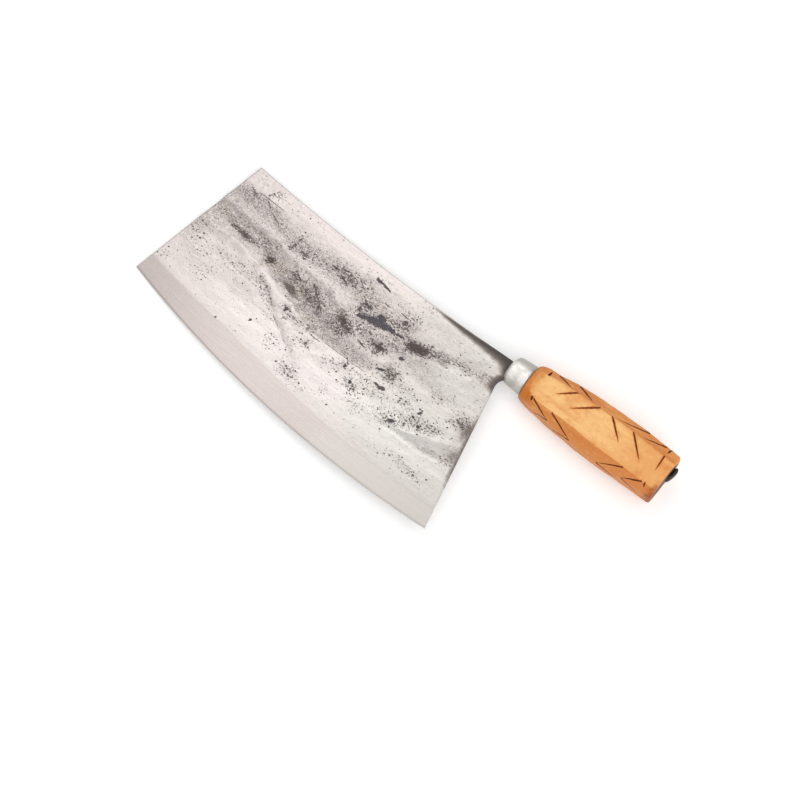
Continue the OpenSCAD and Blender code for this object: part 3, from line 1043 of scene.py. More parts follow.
def neck_slot():
    """A cutter for the slot that the neck goes through."""
    clear = -9.0
    steps = 8
    outline = [(NECK_IN, NECK_TOP + NECK_FIT), (clear, NECK_TOP + NECK_FIT), (clear, FILLET_Y)]
    for i in range(steps + 1):
        a = math.pi - math.pi / 2 * i / steps
        r = NECK_FILLET - NECK_FIT
        outline.append((FILLET_X + r * math.cos(a), FILLET_Y + r * math.sin(a)))
    outline.append((NECK_IN, NECK_BOTTOM - NECK_FIT))
    half = NECK_T / 2 + NECK_FIT
    count = len(outline)
    points = [(x, y, half) for x, y in outline] + [(x, y, -half) for x, y in outline]
    faces = [tuple(range(count)), tuple(range(2 * count - 1, count - 1, -1))]
    faces += [(i, (i + 1) % count, count + (i + 1) % count, count + i) for i in range(count)]
    return make_piece("neck_slot_cutter", points, faces, [])


def settle(piece):
    """Turns what the modifiers make of a piece into its plain mesh."""
    ready = piece.evaluated_get(bpy.context.evaluated_depsgraph_get())
    mesh = bpy.data.meshes.new_from_object(ready)
    old = piece.data
    piece.modifiers.clear()
    piece.data = mesh
    mesh.name = piece.name
    bpy.data.meshes.remove(old)


def cut_away(piece, cutter):
    """Takes the cutter's shape out of a piece, and removes the cutter."""
    cut = piece.modifiers.new("cut", "BOOLEAN")
    cut.operation = "DIFFERENCE"
    cut.solver = "EXACT"
    cut.use_self = True
    cut.material_mode = "TRANSFER"
    cut.object = cutter
    settle(piece)
    bpy.data.objects.remove(cutter)


# The handle

def ridges(x):
    """The eight ridges at x: ridge k lies between facets k and k + 1. Facet 0 faces up,
    2 the spine, 4 down and 6 the edge."""
    sizes = (BROAD, UPPER_RIDGE, LOWER_RIDGE, UNDER_RIDGE, SPINE_SIDE, SPINE_HALF, EDGE_SIDE, EDGE_HALF)
    here = np.array([float(x)])
    broad, upper, lower, under, spine, high, edge, low = (float(smooth_line(t, here)[0]) for t in sizes)
    places = (
        (upper, broad),
        (spine, high),
        (spine, -high),
        (under, -broad),
        (-under, -broad),
        (-edge, -low),
        (-edge, low),
        (-lower, broad),
    )
    carved = []
    for k, place in enumerate(places):
        slip = np.zeros(2)
        for length, step, depth, across, up in RIDGE_WAVES:
            slip += [depth * noise.noise(Vector((x / length, step * k, seed))) for seed in (across, up)]
        carved.append((np.array(place) + slip) * CARVED)
    return carved


def end_limit(x, up):
    """Radius that the rounded shoulder and the rounded butt leave at x; up is 1 on the
    spine's side and -1 on the edge's side."""
    t = max(x - FERRULE_SEEN, 0.0) / SHOULDER_LEN
    rise = SHOULDER_RISE + SHOULDER_TILT * up
    front = SHOULDER_R + rise * math.sqrt(min(t, 1.0)) + CLEAR_SLOPE * max(t - CLEAR_START, 0.0)
    reach = BUTT_ROUND + BUTT_TILT * up
    u = min(max((x - (BUTT_X - reach)) / reach, 0.0), 1.0)
    butt = BUTT_R - (BUTT_DROP + DROP_TILT * up) * (1 - math.sqrt(1 - u * u))
    return min(front, butt)


def wood_section(x, across, round_r):
    """Points round the octagon at x, facet by facet."""
    corners = ridges(x)
    u = min(max((x - (BUTT_X - BUTT_RIM_LEN)) / BUTT_RIM_LEN, 0.0), 1.0)
    rim = BUTT_RIM * (1 - math.sqrt(1 - u * u))
    points = []
    for k in range(8):
        start = corners[k - 1]
        end = corners[k]
        after = corners[(k + 1) % 8]
        length = np.linalg.norm(end - start)
        along = (end - start) / length
        trim = min(round_r, RIDGE_MOST * length)
        normal = np.array([along[1], -along[0]])
        normal = normal * (1 if np.dot(normal, start + end) > 0 else -1)
        for i in range(across + 1):
            t = i / across
            place = start + along * (trim + (length - 2 * trim) * t)
            spot = Vector((x / FACET_WAVE, k * FACET_APART, t * FACET_ACROSS))
            cup = FACET_HOLLOW * math.sin(math.pi * t) * noise.noise(spot)
            points.append(place + normal * cup)
        turn = (after - end) / np.linalg.norm(after - end) - along
        points.append(end + RIDGE_PULL * trim * turn)
    result = []
    for point in points:
        radius = np.linalg.norm(point)
        limit = end_limit(x, point[0] / radius)
        result.append(point * (soft_min(radius, limit, END_BLEND) - rim) / radius)
    return result


def lean_back(x, y, z):
    """The butt is cut a little shorter on its underside."""
    share = float(smooth_step(LEAN_START, BUTT_X, x))
    return (x - BUTT_LEAN * (math.hypot(z, 2.0) - z) / 2 * share, y, z)


# Points across each facet, and how far the sections lie from the ferrule, apart and from
# the butt
FACET_POINTS = 9
FRONT_STEPS = (0.0, 0.12, 0.35, 0.7, 1.2, 1.8)
BODY_START = 2.6
BODY_STEP = 0.95
BUTT_SPAN = 5.0
BUTT_STEPS = 12
# The tenon inside the ferrule: where each of its sections lies, and how far under its radius
TENON_R = FERRULE_REAR_R - FERRULE_WALL - 0.15
TENON = ((1.2, 1.0), (1.6, 0.6), (FERRULE_SEEN - 0.1, 0.0))
# The butt's end grain: shares of the way in to its middle, and how far it is dished
END_SHARES = (0.985, 0.95, 0.8, 0.6, 0.4, 0.2)
END_DISH = 0.10
# How much of the handling's light tone reaches the rims of the two broad facets; the narrow facets carry
# patina and painted shade instead
RIM_WEAR_AND_LIGHT = 0.75


def wood(name, finishes):
    """The carved octagon, with its tenon inside the ferrule."""
    around = 8 * (FACET_POINTS + 2)
    front = [FERRULE_SEEN + step for step in FRONT_STEPS]
    body = list(np.arange(FERRULE_SEEN + BODY_START, BUTT_X - BUTT_SPAN - 0.4, BODY_STEP))
    turns = [math.pi / 2 * i / BUTT_STEPS for i in range(BUTT_STEPS + 1)]
    rear = [BUTT_X - BUTT_SPAN * (1 - math.sin(a)) for a in turns]
    sections = []
    for x, under in TENON:
        r = TENON_R - under
        ring = wood_section(FERRULE_SEEN, FACET_POINTS, 0.5)
        sections.append([(x, p[0] * r / np.linalg.norm(p), p[1] * r / np.linalg.norm(p)) for p in ring])
    for x in front + body + rear:
        ring = wood_section(float(x), FACET_POINTS, RIDGE_ROUND)
        sections.append([(float(x), p[0], p[1]) for p in ring])
    last = sections[-1]
    for i, share in enumerate(END_SHARES):
        dish = END_DISH if i > 0 else 0.02
        sections.append([(BUTT_X - dish, y * share, z * share) for _, y, z in last])
    points = [lean_back(*p) for ring in sections for p in ring]
    faces = grid_faces(len(sections), around, loop=True)
    end_start = (len(sections) - len(END_SHARES)) * around
    kind = [2 if f[0] >= end_start else 0 for f in faces]
    faces.append(tuple(range(around)))
    kind.append(0)
    tail = (len(sections) - 1) * around
    faces.append(tuple(tail + j for j in range(around)))
    kind.append(2)
    wear_and_light = []
    for j in range(around):
        facet, i = divmod(j, FACET_POINTS + 2)
        middle = 1.0 if 0 < i < FACET_POINTS else RIM_WEAR_AND_LIGHT
        # The broad facets stay light: wear, and none of the painted shade of the narrow ones
        wear_and_light.append(middle if facet % 4 == 0 else 0.0)
    fields = {"worn": np.array(wear_and_light * len(sections))}
    return make_piece(name, points, faces, finishes, kind, sharp=33.0, fields=fields)


# Grip cuts: the facet and the ridge they start from, then where each starts and ends, as
# a place along the knife and a share of the way across the facet
GRIP_CUTS = (
    (0, 0, 37.0, -0.03, 27.3, 0.44),
    (0, 0, 51.3, -0.03, 38.4, 0.56),
    (0, 0, 59.0, -0.03, 70.2, 0.50),
    (0, 0, 73.0, -0.03, 85.2, 0.58),
    (0, 0, 94.0, -0.03, 94.7, 0.50),
    (1, 1, 22.3, 0.20, 32.4, 0.90),
    (1, 1, 34.6, 0.14, 47.2, 0.92),
    (1, 1, 80.0, 0.08, 62.2, 0.86),
    (1, 1, 91.6, 0.12, 78.0, 0.86),
    (1, 0, 18.1, -0.03, 18.0, 0.70),
    (1, 1, 94.4, -0.03, 94.2, 0.60),
    (7, 7, 19.4, 0.02, 31.4, 0.98),
    (7, 7, 32.2, 0.02, 47.8, 1.00),
    (7, 7, 80.4, 0.02, 66.0, 1.00),
    (7, 7, 92.8, 0.03, 82.2, 0.92),
    (7, 7, 18.2, -0.03, 18.6, 0.50),
    (7, 7, 94.6, -0.03, 95.0, 0.40),
    (6, 6, 31.8, -0.03, 20.0, 0.62),
    (6, 6, 47.4, -0.03, 34.0, 0.66),
    (6, 6, 66.2, -0.03, 79.0, 0.66),
    (6, 6, 82.0, -0.03, 93.4, 0.60),
    (2, 2, 35.6, -0.03, 22.8, 0.62),
    (2, 2, 49.6, -0.03, 35.8, 0.64),
    (2, 2, 58.2, -0.03, 72.0, 0.62),
    (2, 2, 71.6, -0.03, 85.2, 0.64),
    (2, 1, 93.6, -0.03, 93.8, 0.34),
    (3, 2, 35.6, 0.06, 22.4, 0.80),
    (3, 2, 49.6, 0.06, 34.8, 0.82),
    (3, 2, 58.2, 0.06, 73.4, 0.80),
    (3, 2, 71.6, 0.06, 86.8, 0.84),
    (3, 3, 17.6, -0.03, 17.8, 0.60),
    (3, 3, 93.2, -0.03, 93.4, 0.60),
    (4, 4, 36.0, -0.03, 23.4, 0.46),
    (4, 4, 50.2, -0.03, 36.4, 0.52),
    (4, 4, 58.6, -0.03, 71.6, 0.50),
    (4, 4, 72.2, -0.03, 85.6, 0.54),
    (4, 3, 93.2, -0.03, 93.6, 0.30),
    (5, 4, 36.0, 0.06, 22.2, 0.84),
    (5, 4, 50.2, 0.06, 35.4, 0.82),
    (5, 4, 58.6, 0.06, 74.2, 0.84),
    (5, 4, 72.2, 0.06, 87.0, 0.80),
    (5, 5, 17.4, -0.03, 17.2, 0.60),
    (5, 5, 93.8, -0.03, 93.6, 0.60),
)
CUT_W = 1.05
CUT_DEPTH = 0.95
CUT_CLEAR = 1.2
CUT_UNEVEN = 0.12
CUT_SEED = 5
CORNER_GIRTH = 1.28


def facet_point(k, ridge, x, share):
    """A point on facet k at x, the given share of the way from one of its ridges."""
    places = ridges(x)
    start = places[ridge]
    end = places[k] if ridge == (k - 1) % 8 else places[(k - 1) % 8]
    y, z = start + (end - start) * share
    return Vector((x, y, z))


def facet_turn(k, start, end):
    """Turns X along the cut and Z out of the facet."""
    places = ridges((start.x + end.x) / 2)
    across = places[k] - places[(k - 1) % 8]
    out = Vector((0.0, -across[1], across[0]))
    if out.y * start.y + out.z * start.z < 0:
        out = -out
    along = (end - start).normalized()
    side = out.cross(along).normalized()
    out = along.cross(side)
    return Matrix((along, side, out)).transposed().to_euler()


def cut_guides():
    """Start, turn, length and girth of every grip cut; those on the corners are wider."""
    guides = []
    for k, ridge, first, first_share, last, last_share in GRIP_CUTS:
        start = facet_point(k, ridge, first, first_share)
        end = facet_point(k, ridge, last, last_share)
        girth = 1.0 if k % 4 == 0 else CORNER_GIRTH
        guides.append((start, facet_turn(k, start, end), (end - start).length, girth))
    return guides


class Nodes:
    """A node tree, and short ways to add to it."""

    def __init__(self, tree):
        self.tree = tree

    def feed(self, socket, value):
        """Links a socket to an output, or sets it to a number, a place, a colour or a name."""
        if isinstance(value, bpy.types.NodeSocket):
            self.tree.links.new(value, socket)
        elif isinstance(value, (int, float, str, bpy.types.Material)):
            socket.default_value = value
        else:
            count = len(socket.default_value)
            socket.default_value = (tuple(value) + (1.0,))[:count]

    def node(self, kind, given=None, **settings):
        """A new node with its settings, and its inputs given by name or number."""
        made = self.tree.nodes.new(kind)
        for key, value in settings.items():
            setattr(made, key, value)
        for key, value in (given or {}).items():
            self.feed(made.inputs[key], value)
        return made

    def sum(self, operation, a, b=0.0):
        return self.node("ShaderNodeMath", {0: a, 1: b}, operation=operation).outputs[0]

    def plus(self, a, b):
        return self.sum("ADD", a, b)

    def minus(self, a, b):
        return self.sum("SUBTRACT", a, b)

    def times(self, a, b):
        return self.sum("MULTIPLY", a, b)

    def most(self, a, b):
        return self.sum("MAXIMUM", a, b)

    def fade(self, value, low, high, start=0.0, end=1.0):
        """Smooth from start to end as value runs from low to high."""
        given = {0: value, 1: low, 2: high, 3: start, 4: end}
        return self.node("ShaderNodeMapRange", given, interpolation_type="SMOOTHSTEP").outputs[0]


def add_input(tree, name, kind, value):
    socket = tree.interface.new_socket(name=name, in_out="INPUT", socket_type=kind)
    socket.default_value = value
    return socket.identifier


def cutter_shape(nodes, given):
    """A block drawn out to a V that starts deep at its point x = 0 and runs out at x = 1."""
    clear = given["Height above the wood"]
    block = nodes.node("GeometryNodeMeshCube", {"Size": (1, 1, 1), "Vertices X": 5})
    corner = nodes.node("ShaderNodeSeparateXYZ", {0: nodes.node("GeometryNodeInputPosition").outputs[0]})
    along = nodes.plus(corner.outputs[0], 0.5)
    top = nodes.plus(corner.outputs[2], 0.5)
    swell = nodes.minus(1.0, nodes.sum("POWER", along, 3.2))
    deep = nodes.times(nodes.times(given["Cut depth"], swell), -1.0)
    height = nodes.plus(nodes.times(nodes.minus(1.0, top), deep), nodes.times(top, clear))
    slope = nodes.sum("DIVIDE", given["Cut width"], given["Cut depth"])
    half = nodes.times(nodes.times(slope, nodes.minus(clear, deep)), top)
    wide = nodes.times(corner.outputs[1], half)
    place = nodes.node("ShaderNodeCombineXYZ", {0: along, 1: wide, 2: height})
    drawn = {"Geometry": block.outputs["Mesh"], "Position": place.outputs[0]}
    shape = nodes.node("GeometryNodeSetPosition", drawn)
    joined = {"Geometry": shape.outputs[0], "Distance": 0.0001}
    return nodes.node("GeometryNodeMergeByDistance", joined).outputs[0]


def grip_cut_tree(material):
    """Geometry nodes that set one tapered V-shaped cutter at each guide point."""
    tree = bpy.data.node_groups.new("grip_cuts", "GeometryNodeTree")
    tree.interface.new_socket(name="Guides", in_out="INPUT", socket_type="NodeSocketGeometry")
    ids = {
        "width": add_input(tree, "Cut width", "NodeSocketFloat", CUT_W),
        "depth": add_input(tree, "Cut depth", "NodeSocketFloat", CUT_DEPTH),
        "clear": add_input(tree, "Height above the wood", "NodeSocketFloat", CUT_CLEAR),
        "uneven": add_input(tree, "Unevenness", "NodeSocketFloat", CUT_UNEVEN),
        "seed": add_input(tree, "Seed", "NodeSocketInt", CUT_SEED),
    }
    tree.interface.new_socket(name="Cutters", in_out="OUTPUT", socket_type="NodeSocketGeometry")
    nodes = Nodes(tree)
    given = nodes.node("NodeGroupInput").outputs
    cutter = cutter_shape(nodes, given)

    def guide(name, kind="FLOAT"):
        return nodes.node("GeometryNodeInputNamedAttribute", {"Name": name}, data_type=kind).outputs[0]

    limits = {
        2: nodes.minus(1.0, given["Unevenness"]),
        3: nodes.plus(1.0, given["Unevenness"]),
        "Seed": given["Seed"],
    }
    vary = nodes.node("FunctionNodeRandomValue", limits, data_type="FLOAT").outputs[1]
    across = nodes.times(guide("girth"), vary)
    size = nodes.node("ShaderNodeCombineXYZ", {0: guide("reach"), 1: across, 2: across})
    turn = nodes.node("FunctionNodeEulerToRotation", {0: guide("turn", "FLOAT_VECTOR")})
    placed = {
        "Points": given["Guides"],
        "Instance": cutter,
        "Rotation": turn.outputs[0],
        "Scale": size.outputs[0],
    }
    spread = nodes.node("GeometryNodeInstanceOnPoints", placed)
    real = nodes.node("GeometryNodeRealizeInstances", {0: spread.outputs[0]})
    stain = nodes.node("GeometryNodeSetMaterial", {"Geometry": real.outputs[0], "Material": material})
    nodes.node("NodeGroupOutput", {0: stain.outputs[0]})
    return tree, ids


def grip_cutters(material):
    """One object that holds every cutter, turned to how the knife lies."""
    guides = cut_guides()
    mesh = bpy.data.meshes.new("grip_guides")
    mesh.from_pydata([tuple(g[0]) for g in guides], [], [])
    turn = mesh.attributes.new("turn", "FLOAT_VECTOR", "POINT")
    turn.data.foreach_set("vector", [v for g in guides for v in g[1]])
    reach = mesh.attributes.new("reach", "FLOAT", "POINT")
    reach.data.foreach_set("value", [g[2] for g in guides])
    girth = mesh.attributes.new("girth", "FLOAT", "POINT")
    girth.data.foreach_set("value", [g[3] for g in guides])
    cutters = bpy.data.objects.new("grip_cutters", mesh)
    bpy.context.scene.collection.objects.link(cutters)
    tree, ids = grip_cut_tree(material)
    cuts = cutters.modifiers.new("grip_cuts", "NODES")
    cuts.node_group = tree
    cuts[ids["width"]] = CUT_W
    cuts[ids["depth"]] = CUT_DEPTH
    settle(cutters)
    cutters.data.transform(PLACE)
    return cutters


# The tang

# The bent tail from 0, inside the wood, to 1 at its tip: x and y of its middle line, half
# its thickness and half its width
TAIL = (
    (
        (0.0, 98.2), (0.2, 100.2), (0.35, 101.2), (0.5, 101.9), (0.7, 102.36), (0.85, 102.42),
        (1.0, 102.28),
    ),
    ((0.0, 0.0), (0.2, 0.3), (0.35, 1.2), (0.5, 2.9), (0.7, 5.6), (0.85, 7.7), (1.0, 9.6)),
    ((0.0, 1.25), (0.2, 1.15), (0.5, 1.1), (0.75, 1.25), (0.88, 1.2), (0.96, 0.85), (1.0, 0.4)),
    ((0.0, 2.5), (0.3, 2.4), (0.6, 2.6), (0.85, 2.6), (0.95, 2.0), (1.0, 1.1)),
)
TAIL_STEPS = 32
# Where the rod starts, where its hammering flat starts and where it is flat
ROD_START = 6.0
ROD_END = 62.0
TAIL_START = 94.0
# How square the sections are, where 1 is an ellipse and less is squarer: the rod, the
# place where the flat starts and the tail
ROUND = 0.9
FLATTENED = 0.6
SQUARED = 0.62
TANG_AROUND = 28
HAMMER_DEPTH = 0.10
HAMMER_SIZE = 1.8


def tail_turn(t):
    """How far the tail has turned from the handle's direction to the spine's."""
    near = np.array([max(t - 0.02, 0.0), min(t + 0.02, 1.0)])
    x = smooth_line(TAIL[0], near)
    y = smooth_line(TAIL[1], near)
    return math.atan2(y[1] - y[0], x[1] - x[0])


def tang(name, finish):
    """The rod through the handle, hammered flat and clinched over the butt."""
    rod = TANG_D / 2
    path = [
        (ROD_START, 0.0, 0.0, rod, rod, ROUND),
        (ROD_END, 0.0, 0.0, rod, rod, ROUND),
        (TAIL_START, 0.0, 0.0, TAIL_T / 2, TAIL_W / 2, FLATTENED),
    ]
    for i in range(TAIL_STEPS + 1):
        t = i / TAIL_STEPS
        x, y, thick, wide = (float(smooth_line(line, np.array([t]))[0]) for line in TAIL)
        path.append((x, y, tail_turn(t), thick, wide, SQUARED))
    around = TANG_AROUND
    points = []
    for x, y, a, half_t, half_w, power in path:
        for j in range(around):
            b = 2 * math.pi * j / around
            c = math.cos(b)
            s = math.sin(b)
            u = half_t * math.copysign(abs(c) ** power, c)
            w = half_w * math.copysign(abs(s) ** power, s)
            px = x - u * math.sin(a)
            py = y + u * math.cos(a)
            bump = 0.0
            if x > ROD_END:
                spot = Vector((px / HAMMER_SIZE, py / HAMMER_SIZE, w / HAMMER_SIZE))
                bump = HAMMER_DEPTH * noise.noise(spot)
            points.append((px - bump * math.sin(a), py, w + bump))
    faces = grid_faces(len(path), around, loop=True)
    faces.append(tuple(range(around)))
    last = (len(path) - 1) * around
    faces.append(tuple(last + j for j in range(around)))
    return make_piece(name, points, faces, [finish], sharp=50.0)


# Finishes

def tone(red, green, blue):
    """A colour as it looks, 0 to 255, as the light it gives back."""
    parts = [c / 255 for c in (red, green, blue)]
    return tuple(c / 12.92 if c <= 0.04045 else ((c + 0.055) / 1.055) ** 2.4 for c in parts)


class Finish(Nodes):
    """A material and the patterns that it is built from, laid out in knife millimetres."""

    def __init__(self, name):
        self.material = bpy.data.materials.new(name)
        self.material.use_nodes = True
        super().__init__(self.material.node_tree)
        self.shader = next(n for n in self.tree.nodes if n.type == "BSDF_PRINCIPLED")
        knife = {
            "Vector": self.node("ShaderNodeTexCoord").outputs["Object"],
            "Location": PLACE.translation,
            "Rotation": PLACE.to_3x3().normalized().to_euler(),
            "Scale": (MM, MM, MM),
        }
        self.place = self.node("ShaderNodeMapping", knife, vector_type="TEXTURE").outputs[0]
        self.x, self.y, self.z = self.node("ShaderNodeSeparateXYZ", {0: self.place}).outputs

    def mix(self, share, a, b):
        """Two colours mixed."""
        return self.node("ShaderNodeMix", {0: share, 6: a, 7: b}, data_type="RGBA").outputs[2]

    def between(self, share, a, b):
        """Two numbers mixed."""
        return self.node("ShaderNodeMix", {0: share, 2: a, 3: b}, data_type="FLOAT").outputs[0]

    def uneven(self, pattern, gain):
        """A pattern about 0 that adds gain at the most."""
        return self.times(self.minus(pattern, 0.5), gain)

    def laid(self, size, shift=0.0, turn=0.0):
        """The place in steps of size, which may differ along x, y and z."""
        given = {
            "Vector": self.place,
            "Location": (shift, shift * 0.7, shift * 1.3),
            "Rotation": (0.0, 0.0, turn),
            "Scale": tuple(1.0 / step for step in size),
        }
        return self.node("ShaderNodeMapping", given).outputs[0]

    def mottle(self, size, detail, rough, shift, turn=0.0, warp=0.0):
        """Noise with lumps of the given size; shift picks its place in the noise."""
        given = {
            "Vector": self.laid(size, shift, turn),
            "Scale": 1.0,
            "Detail": detail,
            "Roughness": rough,
            "Distortion": warp,
        }
        return self.node("ShaderNodeTexNoise", given).outputs[0]

    def patterns(self, table, shift=0.0):
        """Keeps each mottle of a table under its own name."""
        for name, (size, detail, rough, place, *more) in table.items():
            setattr(self, name, self.mottle(size, detail, rough, place + shift, *more))

    def dots(self, size, shift=0.0):
        """Cells of about size: the distance to each cell's point, and two numbers of its own."""
        cells = self.node("ShaderNodeTexVoronoi", {"Vector": self.laid(size, shift), "Scale": 1.0})
        own = self.node("ShaderNodeSeparateColor", {0: cells.outputs["Color"]})
        return cells.outputs["Distance"], own.outputs[0], own.outputs[1]

    def field(self, name):
        return self.node("ShaderNodeAttribute", attribute_name=name).outputs["Fac"]

    def stroke(self, start, end, width):
        """A thin mark from start to end on the blade's face."""
        along = (end[0] - start[0], end[1] - start[1])
        given = {
            "Vector": self.place,
            "Location": ((start[0] + end[0]) / 2, (start[1] + end[1]) / 2, 0.0),
            "Rotation": (0.0, 0.0, math.atan2(along[1], along[0])),
            "Scale": (math.hypot(*along) / 2, width / 2, 1000.0),
        }
        near = self.node("ShaderNodeMapping", given, vector_type="TEXTURE").outputs[0]
        far = self.node("ShaderNodeVectorMath", {0: near}, operation="LENGTH")
        return self.fade(far.outputs["Value"], 1.1, 0.6)

    def finish(self, colour, rough, height, depth, metal=0.0, shine=0.5):
        """Feeds the shader, with a bump of a height pattern that is depth millimetres high."""
        given = {"Strength": 1.0, "Distance": depth * MM, "Height": height}
        sockets = {
            "Base Color": colour,
            "Roughness": rough,
            "Metallic": metal,
            "Specular IOR Level": shine,
            "Normal": self.node("ShaderNodeBump", given).outputs[0],
        }
        for name, value in sockets.items():
            self.feed(self.shader.inputs[name], value)
        return self.material


# Tones of the blade
BRIGHT = tone(198, 189, 186)
PALE = tone(208, 201, 198)
BRIGHT_COOL = tone(190, 185, 180)
PALE_COOL = tone(202, 199, 194)
GROUND = tone(186, 176, 172)
GROUND_COOL = tone(187, 181, 176)
FILM = tone(140, 131, 128)
FILM_WARM = tone(160, 148, 136)
SMEAR_TONE = tone(88, 79, 78)
SPECK = tone(70, 62, 60)
SCALE_BLUE = tone(76, 72, 83)
SCALE_BROWN = tone(88, 79, 77)
HEAT_BLACK = tone(68, 62, 58)
HEAT_BROWN_AND_SHADE = tone(116, 106, 99)

# Scratches, forging creases and streaks: start, end, width and how dark
MARKS = (
    ((-178, -3.7), (-157, -4.1), 0.6, 0.7),
    ((-183, -3.4), (-175.5, -6.6), 1.0, 0.7),
    ((-170, -4.4), (-164.5, -8.6), 1.1, 0.7),
    ((-165, -8.6), (-155, -12.8), 1.0, 0.6),
    ((-102, -51.9), (-93.5, -51.9), 0.6, 0.9),
    ((-131, -27.6), (-123.5, -31.2), 1.1, 0.9),
    ((-118, -27.4), (-111, -33.2), 1.0, 0.8),
    ((-112.5, -31.6), (-103.5, -39), 0.9, 0.9),
    ((-110.4, -11.2), (-105.4, -9.8), 1.0, 1.0),
    ((-105.6, -10), (-105, -15.4), 0.8, 0.8),
    ((-110.6, -14), (-102.6, -17), 1.0, 1.0),
    ((-116.5, -12.9), (-111, -12.6), 1.1, 0.9),
    ((-70, -11.6), (-62.5, -12.1), 0.7, 0.9),
    ((-80.5, -12.5), (-75.5, -13), 0.7, 0.9),
    ((-79.5, -38), (-72.5, -39.6), 1.0, 0.9),
    ((-60, -45), (-55, -42.8), 1.3, 0.9),
    ((-97, -50.6), (-62, -50.6), 0.5, 0.5),
    ((-134, -47.5), (-127, -53), 1.0, 0.35),
    ((-126, -54.5), (-117, -60), 1.3, 0.30),
    ((-116, -60), (-108, -65), 1.4, 0.22),
    ((-84, -5), (-81, -6), 0.9, 0.9),
)
# Patterns in the steel: size along x, y and z, detail, roughness and place in the noise,
# then turn and warp where they have them
STEEL_PATTERNS = {
    "broad": ((16.0, 9.0, 9.0), 2.0, 0.5, 3.0),
    "medium": ((3.6, 2.4, 2.4), 3.0, 0.6, 11.0),
    "fine": ((0.95, 0.75, 0.75), 3.0, 0.65, 23.0),
    "dust": ((0.42, 0.36, 0.36), 2.0, 0.6, 29.0),
    "brushing": ((14.0, 0.34, 3.0), 3.0, 0.6, 31.0, 0.03),
    "flecks": ((1.5, 0.8, 0.8), 3.0, 0.65, 71.0),
    "folds": ((2.6, 1.5, 1.5), 2.0, 0.5, 61.0, 0.0, 0.5),
    "grit": ((1.35, 1.0, 1.0), 3.0, 0.66, 51.0, 0.0, 0.5),
    "crinkle": ((0.85, 0.62, 0.62), 2.0, 0.6, 81.0, 0.0, 0.4),
    "ragged": ((1.5, 1.5, 1.5), 4.0, 0.7, 17.0),
    "hammered": ((2.8, 1.9, 1.9), 2.0, 0.5, 41.0),
}
STEEL_FIELDS = ("tarnish", "scale", "pitting", "sheen", "ground", "scorch", "rust", "smear")
# The size of the pits' cells and their place, and how far the right side's patterns lie
# from the left side's
PIT_CELLS = (1.5, 1.2, 1.2)
PIT_PLACE = 5.0
OTHER_SIDE = 37.0


